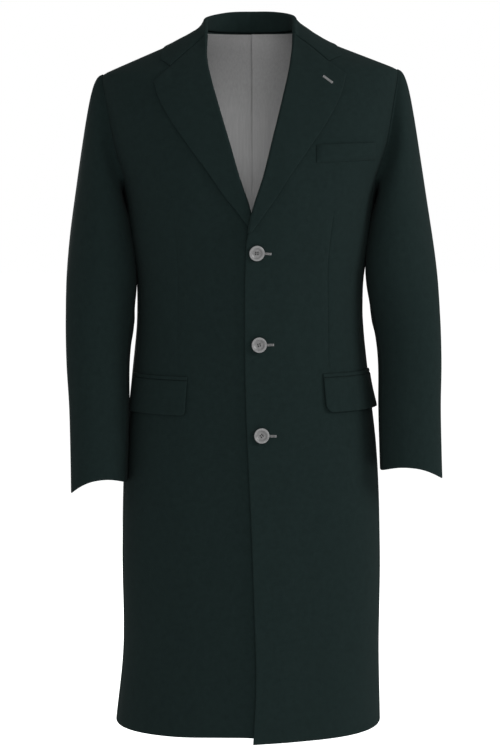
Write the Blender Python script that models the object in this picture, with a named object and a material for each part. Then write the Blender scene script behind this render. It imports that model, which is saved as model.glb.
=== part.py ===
"""Single-breasted knee-length wool topcoat, filled out as if worn, with nobody in it.

Metres. The wearer faces -Y, the wearer's left is +X, +Z is up.
The origin is the middle of the neck, level with the collar seam.
"""
import bmesh
import bpy
import numpy as np
from mathutils import Matrix, Vector

# Driving dimensions
LEFT = 1.0
RIGHT = -1.0
CLOTH = 0.0020
LAPEL_CLOTH = 0.0024
COLLAR_CLOTH = 0.0024
FLAP_CLOTH = 0.0028
LINING_CLOTH = 0.0010
SEAM_GAP = 0.0003
SEAM_BEND_RADIUS = 0.040
LAYER_GAP = 0.0008

NECK_HALF_WIDTH = 0.070
SHOULDER_HALF_WIDTH = 0.2285
SHOULDER_DROP = {LEFT: 0.0602, RIGHT: 0.0685}
RIDGE_Y = 0.010
HEM_Z = -1.0745
FRONT_HEM_SHIFT = {LEFT: -0.0030, RIGHT: 0.0060}

# Level sections of the body, from hem to neck
BODY_COLUMNS = ("height", "half_width", "front_depth", "back_depth", "squareness", "centre_x")
BODY_SECTIONS = (
    (-1.0745, 0.2085, 0.146, 0.150, 2.40, -0.0030),
    (-0.9700, 0.2022, 0.143, 0.143, 2.40, 0.0014),
    (-0.8000, 0.2027, 0.139, 0.135, 2.40, 0.0018),
    (-0.6400, 0.1960, 0.134, 0.127, 2.40, 0.0010),
    (-0.5300, 0.1838, 0.130, 0.113, 2.36, 0.0002),
    (-0.4400, 0.1755, 0.128, 0.101, 2.32, 0.0000),
    (-0.3850, 0.1760, 0.131, 0.106, 2.30, 0.0000),
    (-0.3200, 0.1860, 0.135, 0.114, 2.30, 0.0000),
    (-0.2500, 0.1950, 0.137, 0.124, 2.30, 0.0000),
    (-0.1700, 0.2190, 0.126, 0.131, 2.30, 0.0000),
    (-0.1000, 0.2285, 0.102, 0.124, 2.24, 0.0000),
    (-0.0600, 0.2285, 0.076, 0.110, 2.16, 0.0000),
    (-0.0300, 0.2285, 0.052, 0.096, 2.08, 0.0000),
    (0.0000, 0.2285, 0.026, 0.080, 2.00, 0.0000),
)

# Seams and armholes
FRONT_SEAM_DEG = 78.0
FRONT_SEAM_TOP_DEG = 72.0
BACK_SEAM_DEG = 118.0
ARMHOLE_CORNER_Z = -0.225
ARMHOLE_SCOOP = 0.025
ARMHOLE_POWER = 6.0

# Front edges, from hem to break: where the left front ends, and the roll line of the lapels above
EDGE_COLUMNS = ("height", "edge_x")
FRONT_EDGE = (
    (-1.0770, 0.0045),
    (-1.0000, 0.0085),
    (-0.8600, 0.0055),
    (-0.7700, 0.0025),
    (-0.6600, -0.0025),
    (-0.5700, -0.0062),
    (-0.4500, -0.0080),
    (-0.3800, -0.0076),
    (-0.3200, -0.0056),
)
ROLL_COLUMNS = ("height", "roll_x")
ROLL_LINE = (
    (-0.3100, -0.0065),
    (-0.3030, -0.0055),
    (-0.2680, 0.0030),
    (-0.2280, 0.0165),
    (-0.1800, 0.0295),
    (-0.1100, 0.0485),
    (-0.0850, 0.0550),
    (-0.0600, 0.0605),
    (-0.0300, 0.0640),
    (0.0000, 0.0655),
)
ROLL_LEAN = 0.0022
ROLL_LEAN_Z = -0.270
UNDERLAP_X = 0.040
UNDERLAP_START_X = 0.010
UNDERLAP_TOP_Z = -0.330
UNDERLAP_FADE = 0.040
ROLL_SETBACK = 0.0040
LAP_OUT = 0.0020
LAP_IN = 0.0010
LAP_FULL_X = 0.045
LAP_FADE = 0.050
BREAK_RISE = 0.0026
BREAK_SINK = 0.0020
BREAK_LOW_Z = -0.350
BREAK_LOW_FADE = 0.045
BREAK_HIGH_Z = -0.150
BREAK_HIGH_FADE = 0.080
KEEL = 0.0085
KEEL_REACH = 0.085
KEEL_TOP_Z = -0.250
KEEL_FADE = 0.090

# Back vent
VENT_TOP_Z = -0.640
VENT_SLANT = 0.040
VENT_UNDERLAP = 0.040
VENT_RECESS_X = 0.002
VENT_RECESS_FADE = 0.030
VENT_RECESS_RUN = 0.050

# Lining
LINING_TOP_Z = -0.003
LINING_BOTTOM_Z = -1.030
LINING_END_ROW = 0.010
LINING_GAP = 0.0034
LINING_SIDE_DEG = 2.0
LINING_VENT_X = 0.045
LINING_VENT_RISE = 0.060
LINING_VENT_RUN = 0.050
PLEAT_X = 0.003
PLEAT_UNDERLAP = 0.014
PLEAT_FADE_X = 0.022
PLEAT_FADE = 0.030

# Sleeves, level sections from above the underarm to the cuff
SLEEVE_COLUMNS = ("height", "inner", "outer", "front", "back")
SLEEVE_SECTIONS = (
    (-0.720, 0.1912, 0.2725, -0.105, -0.013),
    (-0.640, 0.1885, 0.2737, -0.100, -0.006),
    (-0.575, 0.1870, 0.2757, -0.094, 0.004),
    (-0.510, 0.1870, 0.2802, -0.086, 0.019),
    (-0.440, 0.1810, 0.2820, -0.079, 0.036),
    (-0.385, 0.1765, 0.2815, -0.075, 0.049),
    (-0.340, 0.1800, 0.2780, -0.073, 0.057),
    (-0.300, 0.1868, 0.2738, -0.072, 0.062),
    (-0.150, 0.1960, 0.2525, -0.060, 0.068),
)
SLEEVE_SQUARENESS = 2.2
SLEEVE_SKEW = 0.18
SKEW_END_Z = -0.460
SKEW_FADE = 0.120
SLEEVE_CLEARANCE = 0.0014
SLEEVE_PRESS = 0.0012
SLEEVE_GIRTH = 0.200
SWING_OUTER = {LEFT: 0.0205, RIGHT: 0.0}
SWING_INNER = {LEFT: 0.0120, RIGHT: 0.0}
SWING_OUTER_TOP_Z = -0.240
SWING_OUTER_RUN = 0.450
SWING_INNER_TOP_Z = -0.300
SWING_INNER_RUN = 0.200
BICEPS_Z = -0.300
CAP_LEAVE = 0.0125
CAP_LEAVE_CROWN = 0.0060
CAP_LEAVE_FRONT = 0.008
CAP_REACH = 0.085
CAP_REACH_CROWN = 0.065
CAP_FORWARD = 0.25
CAP_DROP = 0.20
CAP_DROP_CROWN = 0.14
FORE_SEAM = 0.43
HIND_SEAM = 0.70
CUFF_OUTER_Z = {LEFT: -0.6852, RIGHT: -0.7080}
CUFF_FRONT_Z = {LEFT: -0.6650, RIGHT: -0.6840}
CUFF_INNER_Z = {LEFT: -0.6725, RIGHT: -0.6905}

# Collar stations from centre back to gorge: seam at the neck, fold at the top, outer edge in plan
COLLAR_COLUMNS = ("station", "seam_x", "seam_y", "seam_z", "fold_x", "fold_y", "fold_z", "edge_x", "edge_y")
COLLAR_STATIONS = (
    (0.00, 0.0000, 0.0775, 0.0006, 0.0000, 0.0800, 0.0345, 0.0000, 0.0945),
    (0.25, 0.0360, 0.0680, 0.0006, 0.0355, 0.0705, 0.0338, 0.0560, 0.0860),
    (0.45, 0.0590, 0.0440, 0.0006, 0.0570, 0.0460, 0.0290, 0.1000, 0.0620),
    (0.65, 0.0668, 0.0140, 0.0006, 0.0645, 0.0150, 0.0210, 0.1230, 0.0200),
    (0.82, 0.0640, -0.0090, -0.0030, 0.0640, -0.0085, 0.0070, 0.1340, -0.0100),
    (1.00, 0.0638, -0.0255, -0.0105, 0.0637, -0.0250, -0.0060, 0.1390, -0.0330),
)
COLLAR_ROLL = 0.0038
COLLAR_LIFT = 0.0034
COLLAR_TIP = {LEFT: (0.1390, -0.0425), RIGHT: (0.1357, -0.0490)}
COLLAR_SPRING = {LEFT: 2.5, RIGHT: 5.4}
COLLAR_SAG = {LEFT: 0.0012, RIGHT: 0.0040}
NOTCH_PLACE = 0.68
NOTCH_GAP = 0.0009
COLLAR_ROUND_STEPS = (0.0, 0.14, 0.28, 0.42, 0.55, 0.67, 0.79, 0.89, 0.95, 1.0)
COLLAR_STAND_STEPS = (0.0, 0.5, 1.0)
COLLAR_FOLD_STEPS = (1.33, 1.67, 2.0)
COLLAR_FALL_STEPS = (2.22, 2.45, 2.68, 2.84, 3.0)

# Lapels, outer edge from break to tip
LAPEL_COLUMNS = ("height", "edge_x")
LAPEL_BREAK_Z = {LEFT: -0.3100, RIGHT: -0.3030}
LAPEL_FOOT = {
    LEFT: ((-0.3070, 0.0020), (-0.2955, 0.0110), (-0.2800, 0.0218), (-0.2600, 0.0360)),
    RIGHT: ((-0.3000, 0.0020), (-0.2890, 0.0110), (-0.2750, 0.0218), (-0.2580, 0.0360)),
}
LAPEL_EDGE = (
    (-0.2220, 0.0605),
    (-0.1800, 0.0900),
    (-0.1470, 0.1120),
    (-0.1000, 0.1360),
    (-0.0700, 0.1445),
)
LAPEL_TIP_Z = {LEFT: -0.0725, RIGHT: -0.0835}
GORGE_Z = -0.0155
LAPEL_LIFT = 0.0042
LAPEL_ROLL_RISE = 0.0016

# Pockets
WELT_INNER_X = 0.0985
WELT_OUTER_X = 0.1890
WELT_TOP_Z = -0.1790
WELT_SLOPE = 0.055
WELT_HEIGHT = 0.0265
WELT_GAP = 0.0016
FLAP_TOP_Z = {LEFT: -0.5260, RIGHT: -0.5300}
FLAP_HEIGHT = 0.0530
FLAP_FROM_DEG = {LEFT: 33.0, RIGHT: 27.0}
FLAP_TO_DEG = {LEFT: 86.0, RIGHT: 74.0}
FLAP_CORNER = {LEFT: 0.0120, RIGHT: 0.0070}
FLAP_WIDTH = 0.150
FLAP_CORNER_MOST = 0.07
FLAP_STAND_OFF = {LEFT: 0.0050, RIGHT: 0.0015}
FLAP_STEPS = (0.0, 0.35, 0.7, 0.86, 0.95, 1.0)
JET_HEIGHT = 0.0060

# Buttons
BUTTON_COLUMNS = ("x", "height")
BUTTON_SPOTS = (
    (0.0095, -0.3380),
    (0.0129, -0.4756),
    (0.0167, -0.6111),
)
BUTTON_RADIUS = 0.0115
BUTTON_THICK = 0.0042
BUTTON_STAND_OFF = 0.0013
BUTTON_DISH = 0.0017
BUTTON_RIM = 0.0024
BUTTON_SEGMENTS = 14
THREAD_HOLE_RADIUS = 0.0009
THREAD_HOLE_SPREAD = 0.0018
THREAD_HOLE_SEGMENTS = 6
THREAD_HOLE_DEPTH = 0.0200

# Colours
WOOL = (0.011, 0.017, 0.016, 1.0)
SATIN = (0.400, 0.400, 0.400, 1.0)
HORN = (0.140, 0.140, 0.142, 1.0)


def along(table, columns, name, height):
    """Smooth curve through one column of a table, read at the given heights (first column)."""
    rows = np.array(table)
    knots = rows[:, 0]
    values = rows[:, columns.index(name)]
    slopes = np.gradient(values, knots)
    at = np.clip(np.asarray(height, float), knots[0], knots[-1])
    low = np.clip(np.searchsorted(knots, at) - 1, 0, len(knots) - 2)
    span = knots[low + 1] - knots[low]
    t = (at - knots[low]) / span
    from_low = (1 + 2 * t) * (1 - t) ** 2 * values[low] + t * (1 - t) ** 2 * span * slopes[low]
    from_high = t * t * (3 - 2 * t) * values[low + 1] + t * t * (t - 1) * span * slopes[low + 1]
    return from_low + from_high


def signed_power(value, power):
    return np.sign(value) * np.abs(value) ** power


def ease(value):
    """Soft step from 0 to 1."""
    t = np.clip(value, 0.0, 1.0)
    return t * t * (3 - 2 * t)


# Body form
def half_width(side, z):
    slope = np.where(side > 0, SHOULDER_DROP[LEFT], SHOULDER_DROP[RIGHT])
    slope = slope / (SHOULDER_HALF_WIDTH - NECK_HALF_WIDTH)
    return np.minimum(along(BODY_SECTIONS, BODY_COLUMNS, "half_width", z), NECK_HALF_WIDTH - z / slope)


def section(side, z):
    """Half width, front and back depth from the ridge, squareness and centre of the level section at z."""
    columns = BODY_COLUMNS[2:]
    front, back, square, centre = (along(BODY_SECTIONS, BODY_COLUMNS, name, z) for name in columns)
    return half_width(side, z), front + RIDGE_Y, back - RIDGE_Y, square, centre


def body_point(side, degrees, z):
    """Point of the body form: 0 degrees is centre front, 90 the side or shoulder, 180 centre back."""
    z = np.asarray(z, float)
    turn = np.radians(degrees)
    wide, front, back, square, centre = section(side, z)
    across = signed_power(np.sin(turn), 2 / square)
    ahead = signed_power(np.cos(turn), 2 / square)
    x = centre + side * wide * across
    y = RIDGE_Y - np.where(ahead >= 0, front, back) * ahead
    return np.stack(np.broadcast_arrays(x, y, z), axis=-1)


def body_level(point):
    """1 on the body form, less inside it, more outside."""
    x, y, z = point[..., 0], point[..., 1], point[..., 2]
    wide, front, back, square, centre = section(np.where(x >= 0, LEFT, RIGHT), z)
    wide = np.maximum(wide, 0.002)
    deep = np.where(y < RIDGE_Y, front, back)
    return np.abs((x - centre) / wide) ** square + np.abs((y - RIDGE_Y) / deep) ** square


def body_slope(point):
    """How fast body_level grows along X, Y and Z, per metre."""
    step = 0.0004
    slopes = []
    for axis in np.eye(3):
        rise = body_level(point + step * axis) - body_level(point - step * axis)
        slopes.append(rise / (2 * step))
    return np.stack(slopes, axis=-1)


def body_outward(point):
    """Unit vector out of the body form."""
    slope = body_slope(point)
    return slope / np.linalg.norm(slope, axis=-1, keepdims=True)


def degrees_at(side, x, z):
    """Angle on the front half of the body form whose width is x, measured towards the given side."""
    wide, _, _, square, centre = section(side, z)
    sine = np.clip(signed_power(side * (x - centre) / wide, square / 2), -1, 1)
    return np.degrees(np.arcsin(sine))


def on_front(x, z, lift):
    """Point on the front of the body form at x and z, moved out by lift."""
    side = np.where(x >= 0, LEFT, RIGHT)
    point = body_point(side, degrees_at(side, x, z), z)
    return point + body_outward(point) * np.asarray(lift)[..., None]


def top_of_body(x, y):
    """Height of the shoulders and neck of the body form above a spot in plan."""
    low = np.full(np.shape(x), -0.200)
    high = np.full(np.shape(x), 0.020)
    for _ in range(36):
        middle = (low + high) / 2
        inside = body_level(np.stack([x, y, middle], axis=-1)) < 1
        low = np.where(inside, middle, low)
        high = np.where(inside, high, middle)
    return (low + high) / 2


def clear_of_body(point, least, amount):
    """Presses points that come closer to the body form than least softly out of its way."""
    steep = np.linalg.norm(body_slope(point), axis=-1)
    lack = least - (body_level(point) - 1) / steep
    push = amount * (lack + np.sqrt(lack ** 2 + SLEEVE_PRESS ** 2)) / 2
    return point + body_outward(point) * push[..., None]


# Solids from sheets
def piece(name, colour, mesh):
    data = bpy.data.meshes.new(name)
    bmesh.ops.recalc_face_normals(mesh, faces=mesh.faces)
    mesh.to_mesh(data)
    mesh.free()
    material = bpy.data.materials.new(name)
    material.use_nodes = True
    material.node_tree.nodes["Principled BSDF"].inputs["Base Color"].default_value = colour
    material.node_tree.nodes["Principled BSDF"].inputs["Roughness"].default_value = 0.9
    data.materials.append(material)
    item = bpy.data.objects.new(name, data)
    bpy.context.scene.collection.objects.link(item)
    return item


def wall(name, colour, outer, outward, thickness):
    """Closed sheet of cloth: a grid of outer points and the same grid moved in by the thickness."""
    inner = outer - outward * thickness
    rows, columns = outer.shape[:2]
    mesh = bmesh.new()
    skins = []
    for skin in (outer, inner):
        skins.append([[mesh.verts.new(tuple(point)) for point in line] for line in skin])
    for skin in skins:
        for r in range(rows - 1):
            for c in range(columns - 1):
                mesh.faces.new((skin[r][c], skin[r][c + 1], skin[r + 1][c + 1], skin[r + 1][c]))
    rim = [(0, c) for c in range(columns)]
    rim += [(r, columns - 1) for r in range(1, rows)]
    rim += [(rows - 1, c) for c in range(columns - 2, -1, -1)]
    rim += [(r, 0) for r in range(rows - 2, 0, -1)]
    for here, there in zip(rim, rim[1:] + rim[:1]):
        corners = [skins[0][here[0]][here[1]], skins[0][there[0]][there[1]]]
        corners += [skins[1][there[0]][there[1]], skins[1][here[0]][here[1]]]
        mesh.faces.new(corners)
    return piece(name, colour, mesh)


def grid_outward(shape, u, v, side):
    """Unit normals of a surface shape(u, v), turned to the given side of it."""
    step = 0.002
    along_u = shape(u + step, v) - shape(u - step, v)
    along_v = shape(u, v + step) - shape(u, v - step)
    normal = np.cross(along_u, along_v) * side
    return normal / np.linalg.norm(normal, axis=-1, keepdims=True)


# Heights of the rows of points, shared by the panels of one side
def lower_rows(count=13):
    """Rows from hem (0) to armhole (1), with two more at the top of the vent."""
    vent = (np.array([VENT_TOP_Z - VENT_SLANT, VENT_TOP_Z]) - HEM_Z) / (ARMHOLE_CORNER_Z - HEM_Z)
    return np.sort(np.concatenate([np.linspace(0.0, 1.0, count + 1), vent]))


def upper_rows(side, armhole_count=6, shoulder_count=4):
    tip = -SHOULDER_DROP[side]
    spread = np.sin(np.linspace(0, np.pi / 2, armhole_count + 1))[1:]
    armhole = ARMHOLE_CORNER_Z + (tip - ARMHOLE_CORNER_Z) * spread
    shoulder = np.linspace(tip, 0.0, shoulder_count + 1)[1:]
    return np.concatenate([armhole, shoulder])


def seam_inset():
    """Half a seam gap as an angle of the body form."""
    return np.degrees(SEAM_GAP / 2 / SEAM_BEND_RADIUS)


def front_seam_degrees(z):
    """The seam between front and side body drifts back a little towards the armhole."""
    up = np.clip((z - HEM_Z) / (ARMHOLE_CORNER_Z - HEM_Z), 0.0, 1.0)
    return FRONT_SEAM_DEG + (FRONT_SEAM_TOP_DEG - FRONT_SEAM_DEG) * up


def armhole_degrees(side, z, seam_degrees, inset):
    """Angle of the armhole edge at z: starts at the underarm seam and closes to 90 at the shoulder tip."""
    rise = np.clip((z - ARMHOLE_CORNER_Z) / (-SHOULDER_DROP[side] - ARMHOLE_CORNER_Z), 0.0, 1.0)
    toward = np.sign(90.0 - seam_degrees)
    return seam_degrees + (90.0 - seam_degrees) * rise ** ARMHOLE_POWER - toward * inset


def roll_x(side, z):
    """Roll line of the lapel on one side (measured towards that side); the V leans a little to the left."""
    lean = ROLL_LEAN * (ease(z / ROLL_LEAN_Z) * 2 - 1)
    return along(ROLL_LINE, ROLL_COLUMNS, "roll_x", z) + side * lean


def lap_lift(side, x, z):
    """How far a front stands out of the body form where the two fronts overlap."""
    near = 1 - ease((side * x - LAP_FULL_X) / LAP_FADE)
    at_break = ease((z - BREAK_LOW_Z) / BREAK_LOW_FADE) * ease((BREAK_HIGH_Z - z) / BREAK_HIGH_FADE)
    from_edge = np.abs(x - along(FRONT_EDGE, EDGE_COLUMNS, "edge_x", z))
    keel = KEEL * np.clip(1 - from_edge / KEEL_REACH, 0, 1) ** 2 * ease((KEEL_TOP_Z - z) / KEEL_FADE)
    if side == LEFT:
        return keel + near * (LAP_OUT + BREAK_RISE * at_break)
    return keel - near * (LAP_IN + BREAK_SINK * at_break)


# Fronts
def front_inner_x(side, z):
    """Where the shaped part of a front begins, towards its own side: front edge, then roll line."""
    rolled = roll_x(side, z) + ROLL_SETBACK
    if side == LEFT:
        edge = along(FRONT_EDGE, EDGE_COLUMNS, "edge_x", z)
    else:
        edge = np.full(np.shape(z), UNDERLAP_START_X)
        rolled = rolled + ROLL_SETBACK
    blend = ease((z - UNDERLAP_TOP_Z) / UNDERLAP_FADE)
    return edge * (1 - blend) + rolled * blend


def underlap(z):
    """Width of the strip of the right front that runs on under the left front."""
    below = 1 - ease((z - UNDERLAP_TOP_Z) / UNDERLAP_FADE)
    return ROLL_SETBACK + (UNDERLAP_X - ROLL_SETBACK) * below


def front(side, name, columns=8):
    across = np.linspace(0.0, 1.0, columns)[None, :]
    if side == RIGHT:
        across = np.concatenate([[[-1.0, -0.5]], across], axis=1)
    hem = HEM_Z + FRONT_HEM_SHIFT[side] * np.clip(1 - across, 0, 1)
    lower = hem + (ARMHOLE_CORNER_Z - hem) * lower_rows()[:, None]
    upper = np.repeat(upper_rows(side)[:, None], across.shape[1], axis=1)
    z = np.concatenate([lower, upper])
    inner = front_inner_x(side, z) + underlap(z) * np.clip(across, -1, 0)
    start = degrees_at(side, side * inner, z)
    end = armhole_degrees(side, z, front_seam_degrees(z), seam_inset())
    point = body_point(side, start + (end - start) * np.clip(across, 0, 1), z)
    outward = body_outward(point)
    outer = point + outward * lap_lift(side, point[..., 0], z)[..., None]
    return wall(name, WOOL, outer, outward, CLOTH)


# Side bodies, under the arms
def side_body(side, name, columns=6):
    across = np.linspace(0.0, 1.0, columns)[None, :]
    top = ARMHOLE_CORNER_Z - ARMHOLE_SCOOP * (1 - (2 * across - 1) ** 2) - SEAM_GAP
    z = HEM_Z + (top - HEM_Z) * lower_rows()[:, None]
    start = front_seam_degrees(z) + seam_inset()
    end = BACK_SEAM_DEG - seam_inset()
    point = body_point(side, start + (end - start) * across, z)
    return wall(name, WOOL, point, body_outward(point), CLOTH)


# Backs, with the vent at the centre below the waist
def vent_reach(z):
    return ease((VENT_TOP_Z - z) / VENT_SLANT)


def back(side, name, columns=7):
    across = np.linspace(0.0, 1.0, columns)[None, :]
    heights = np.concatenate([HEM_Z + (ARMHOLE_CORNER_Z - HEM_Z) * lower_rows(), upper_rows(side)])
    z = np.repeat(heights[:, None], columns, axis=1)
    inner_x = np.full(z.shape, SEAM_GAP / 2)
    if side == RIGHT:
        inner_x = inner_x - VENT_UNDERLAP * vent_reach(z)
    start = 180.0 - degrees_at(side, side * inner_x, z)
    end = armhole_degrees(side, z, BACK_SEAM_DEG, seam_inset())
    point = body_point(side, start + (end - start) * across, z)
    outward = body_outward(point)
    lift = np.zeros(z.shape)
    if side == RIGHT:
        under = 1 - ease((side * point[..., 0] - VENT_RECESS_X) / VENT_RECESS_FADE)
        below = ease((VENT_TOP_Z - z) / VENT_RECESS_RUN + 1)
        lift = -(CLOTH + 1.5 * LAYER_GAP) * under * below
    return wall(name, WOOL, point + outward * lift[..., None], outward, CLOTH)


# Back lining, in two halves that lap at the centre pleat
def lining(side, name, columns=5):
    across = np.linspace(0.0, 1.0, columns)[None, :]
    rows = np.concatenate([HEM_Z + (ARMHOLE_CORNER_Z - HEM_Z) * lower_rows(), upper_rows(side)])
    between = (rows > LINING_BOTTOM_Z + LINING_END_ROW) & (rows < LINING_TOP_Z - LINING_END_ROW / 2)
    rows = np.concatenate([[LINING_BOTTOM_Z], rows[between], [LINING_TOP_Z]])
    z = np.repeat(rows[:, None], columns, axis=1)
    inner_x = np.full(z.shape, PLEAT_X if side == LEFT else -PLEAT_X - PLEAT_UNDERLAP)
    at_vent = ease((VENT_TOP_Z + LINING_VENT_RISE - z) / LINING_VENT_RUN)
    inner_x = inner_x + (LINING_VENT_X - inner_x) * at_vent
    start = 180.0 - degrees_at(side, side * inner_x, z)
    end = armhole_degrees(side, z, BACK_SEAM_DEG + LINING_SIDE_DEG, LINING_SIDE_DEG)
    point = body_point(side, start + (end - start) * across, z)
    outward = body_outward(point)
    depth = CLOTH + LINING_GAP + np.zeros(z.shape)
    if side == LEFT:
        over = 1 - ease((point[..., 0] - PLEAT_FADE_X) / PLEAT_FADE)
        depth = depth + (LINING_CLOTH + 2 * LAYER_GAP) * over
    return wall(name, SATIN, point - outward * depth[..., None], outward, LINING_CLOTH)


# Sleeves
def armhole_half(side, seam_degrees, part):
    """Edge of the armhole from the shoulder tip down to the underarm, evenly spaced along its length."""
    tip = -SHOULDER_DROP[side]
    z = np.linspace(tip, ARMHOLE_CORNER_Z, 160)
    edge = body_point(side, armhole_degrees(side, z, seam_degrees, 0.0), z)
    toward = np.linspace(1.0, 0.0, 80)[1:]
    middle = (FRONT_SEAM_TOP_DEG + BACK_SEAM_DEG) / 2
    scoop = ARMHOLE_CORNER_Z - ARMHOLE_SCOOP * (1 - toward ** 2)
    under = body_point(side, middle + (seam_degrees - middle) * toward, scoop)
    line = np.concatenate([edge, under])
    gone = np.concatenate([[0.0], np.cumsum(np.linalg.norm(np.diff(line, axis=0), axis=1))])
    found = [np.interp(part * gone[-1], gone, line[:, axis]) for axis in range(3)]
    return np.stack(found, axis=-1)


def armhole(side, turn):
    """Armhole edge: turn 0 is the shoulder tip, 0.25 the front, 0.5 the underarm, 0.75 the back."""
    turn = np.mod(turn, 1.0)
    ahead = armhole_half(side, FRONT_SEAM_TOP_DEG, np.clip(turn * 2, 0, 1))
    behind = armhole_half(side, BACK_SEAM_DEG, np.clip(2 - turn * 2, 0, 1))
    return np.where((turn <= 0.5)[..., None], ahead, behind)


def tube(side, turn, z):
    """Sleeve below the armhole: level rings, turned in ahead of the chest and swung out on the left."""
    columns = SLEEVE_COLUMNS[1:]
    inner, outer, front_y, back_y = (along(SLEEVE_SECTIONS, SLEEVE_COLUMNS, name, z) for name in columns)
    inner = inner + SWING_INNER[side] * ease((SWING_INNER_TOP_Z - z) / SWING_INNER_RUN)
    outer = outer + SWING_OUTER[side] * np.clip((SWING_OUTER_TOP_Z - z) / SWING_OUTER_RUN, 0, None)
    cosine = signed_power(np.cos(2 * np.pi * turn), 2 / SLEEVE_SQUARENESS)
    sine = signed_power(np.sin(2 * np.pi * turn), 2 / SLEEVE_SQUARENESS)
    forward = -(back_y - front_y) / 2 * sine
    skew = SLEEVE_SKEW * ease((z - SKEW_END_Z) / SKEW_FADE)
    x = (inner + outer) / 2 + (outer - inner) / 2 * cosine + skew * forward
    y = (front_y + back_y) / 2 + forward
    return np.stack(np.broadcast_arrays(side * x, y, z), axis=-1)


def cuff_z(side, turn):
    """The cuff is longest at the outer side and arched up in front and behind."""
    mean = (CUFF_OUTER_Z[side] + CUFF_INNER_Z[side]) / 2
    tilt = (CUFF_OUTER_Z[side] - CUFF_INNER_Z[side]) / 2
    arch = (mean - CUFF_FRONT_Z[side]) / 2
    return mean - arch + tilt * np.cos(2 * np.pi * turn) + arch * np.cos(4 * np.pi * turn)


def sleeve_point(side, turn, down):
    """Point of a sleeve: down 0 to 1 is the cap from armhole to biceps, 1 to 2 runs on to the cuff."""
    turn, down = np.broadcast_arrays(np.asarray(turn, float), np.asarray(down, float))
    cosine = np.cos(2 * np.pi * turn)
    sine = np.sin(2 * np.pi * turn)
    root = armhole(side, turn)
    root = root + np.stack([side * SEAM_GAP + 0 * sine, 0 * sine, 0 * sine], axis=-1)
    leave = CAP_LEAVE + CAP_LEAVE_CROWN * cosine + CAP_LEAVE_FRONT * sine ** 2
    forward = -CAP_FORWARD * leave * sine
    down_first = -leave * (CAP_DROP - CAP_DROP_CROWN * cosine)
    away = np.stack([side * leave, forward, down_first], axis=-1)
    reach = CAP_REACH + CAP_REACH_CROWN * cosine
    level = BICEPS_Z + 0 * turn
    last = tube(side, turn, level)
    before = tube(side, turn, level + reach)
    t = np.clip(down, 0.0, 1.0)[..., None]
    near_root = (1 - t) ** 3 * root + 3 * t * (1 - t) ** 2 * (root + away)
    near_biceps = 3 * t * t * (1 - t) * before + t ** 3 * last
    cap = near_root + near_biceps
    z = BICEPS_Z + (cuff_z(side, turn) - BICEPS_Z) * np.clip(down - 1, 0, None)
    point = np.where((down <= 1.0)[..., None], cap, tube(side, turn, z))
    return clear_of_body(point, SLEEVE_CLEARANCE, ease(down / 0.7))


def sleeve(side, name, start, end, columns):
    inset = SEAM_GAP / 2 / SLEEVE_GIRTH
    turn = np.linspace(start + inset, end - inset, columns)[None, :]
    down = np.concatenate([np.linspace(0.0, 1.0, 7), np.linspace(1.0, 2.0, 9)[1:]])[:, None]
    outer = sleeve_point(side, turn, down)

    def shape(u, v):
        return sleeve_point(side, u, np.clip(v, 0.0, 2.0))

    outward = grid_outward(shape, turn + 0 * down, down + 0 * turn, side)
    return wall(name, WOOL, outer, outward, CLOTH)


# Collar: stand, fold and fall in one bent wall
def collar_at(station, name):
    return along(COLLAR_STATIONS, COLLAR_COLUMNS, name, np.abs(station))


def lapel_top(side, place):
    """Spot on the line of gorge and lapel top, from roll line to tip: x towards the side, and z."""
    start_x = roll_x(side, GORGE_Z)
    x = start_x + (LAPEL_EDGE[-1][1] - start_x) * place
    return x, GORGE_Z + (LAPEL_TIP_Z[side] - GORGE_Z) * place


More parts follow.
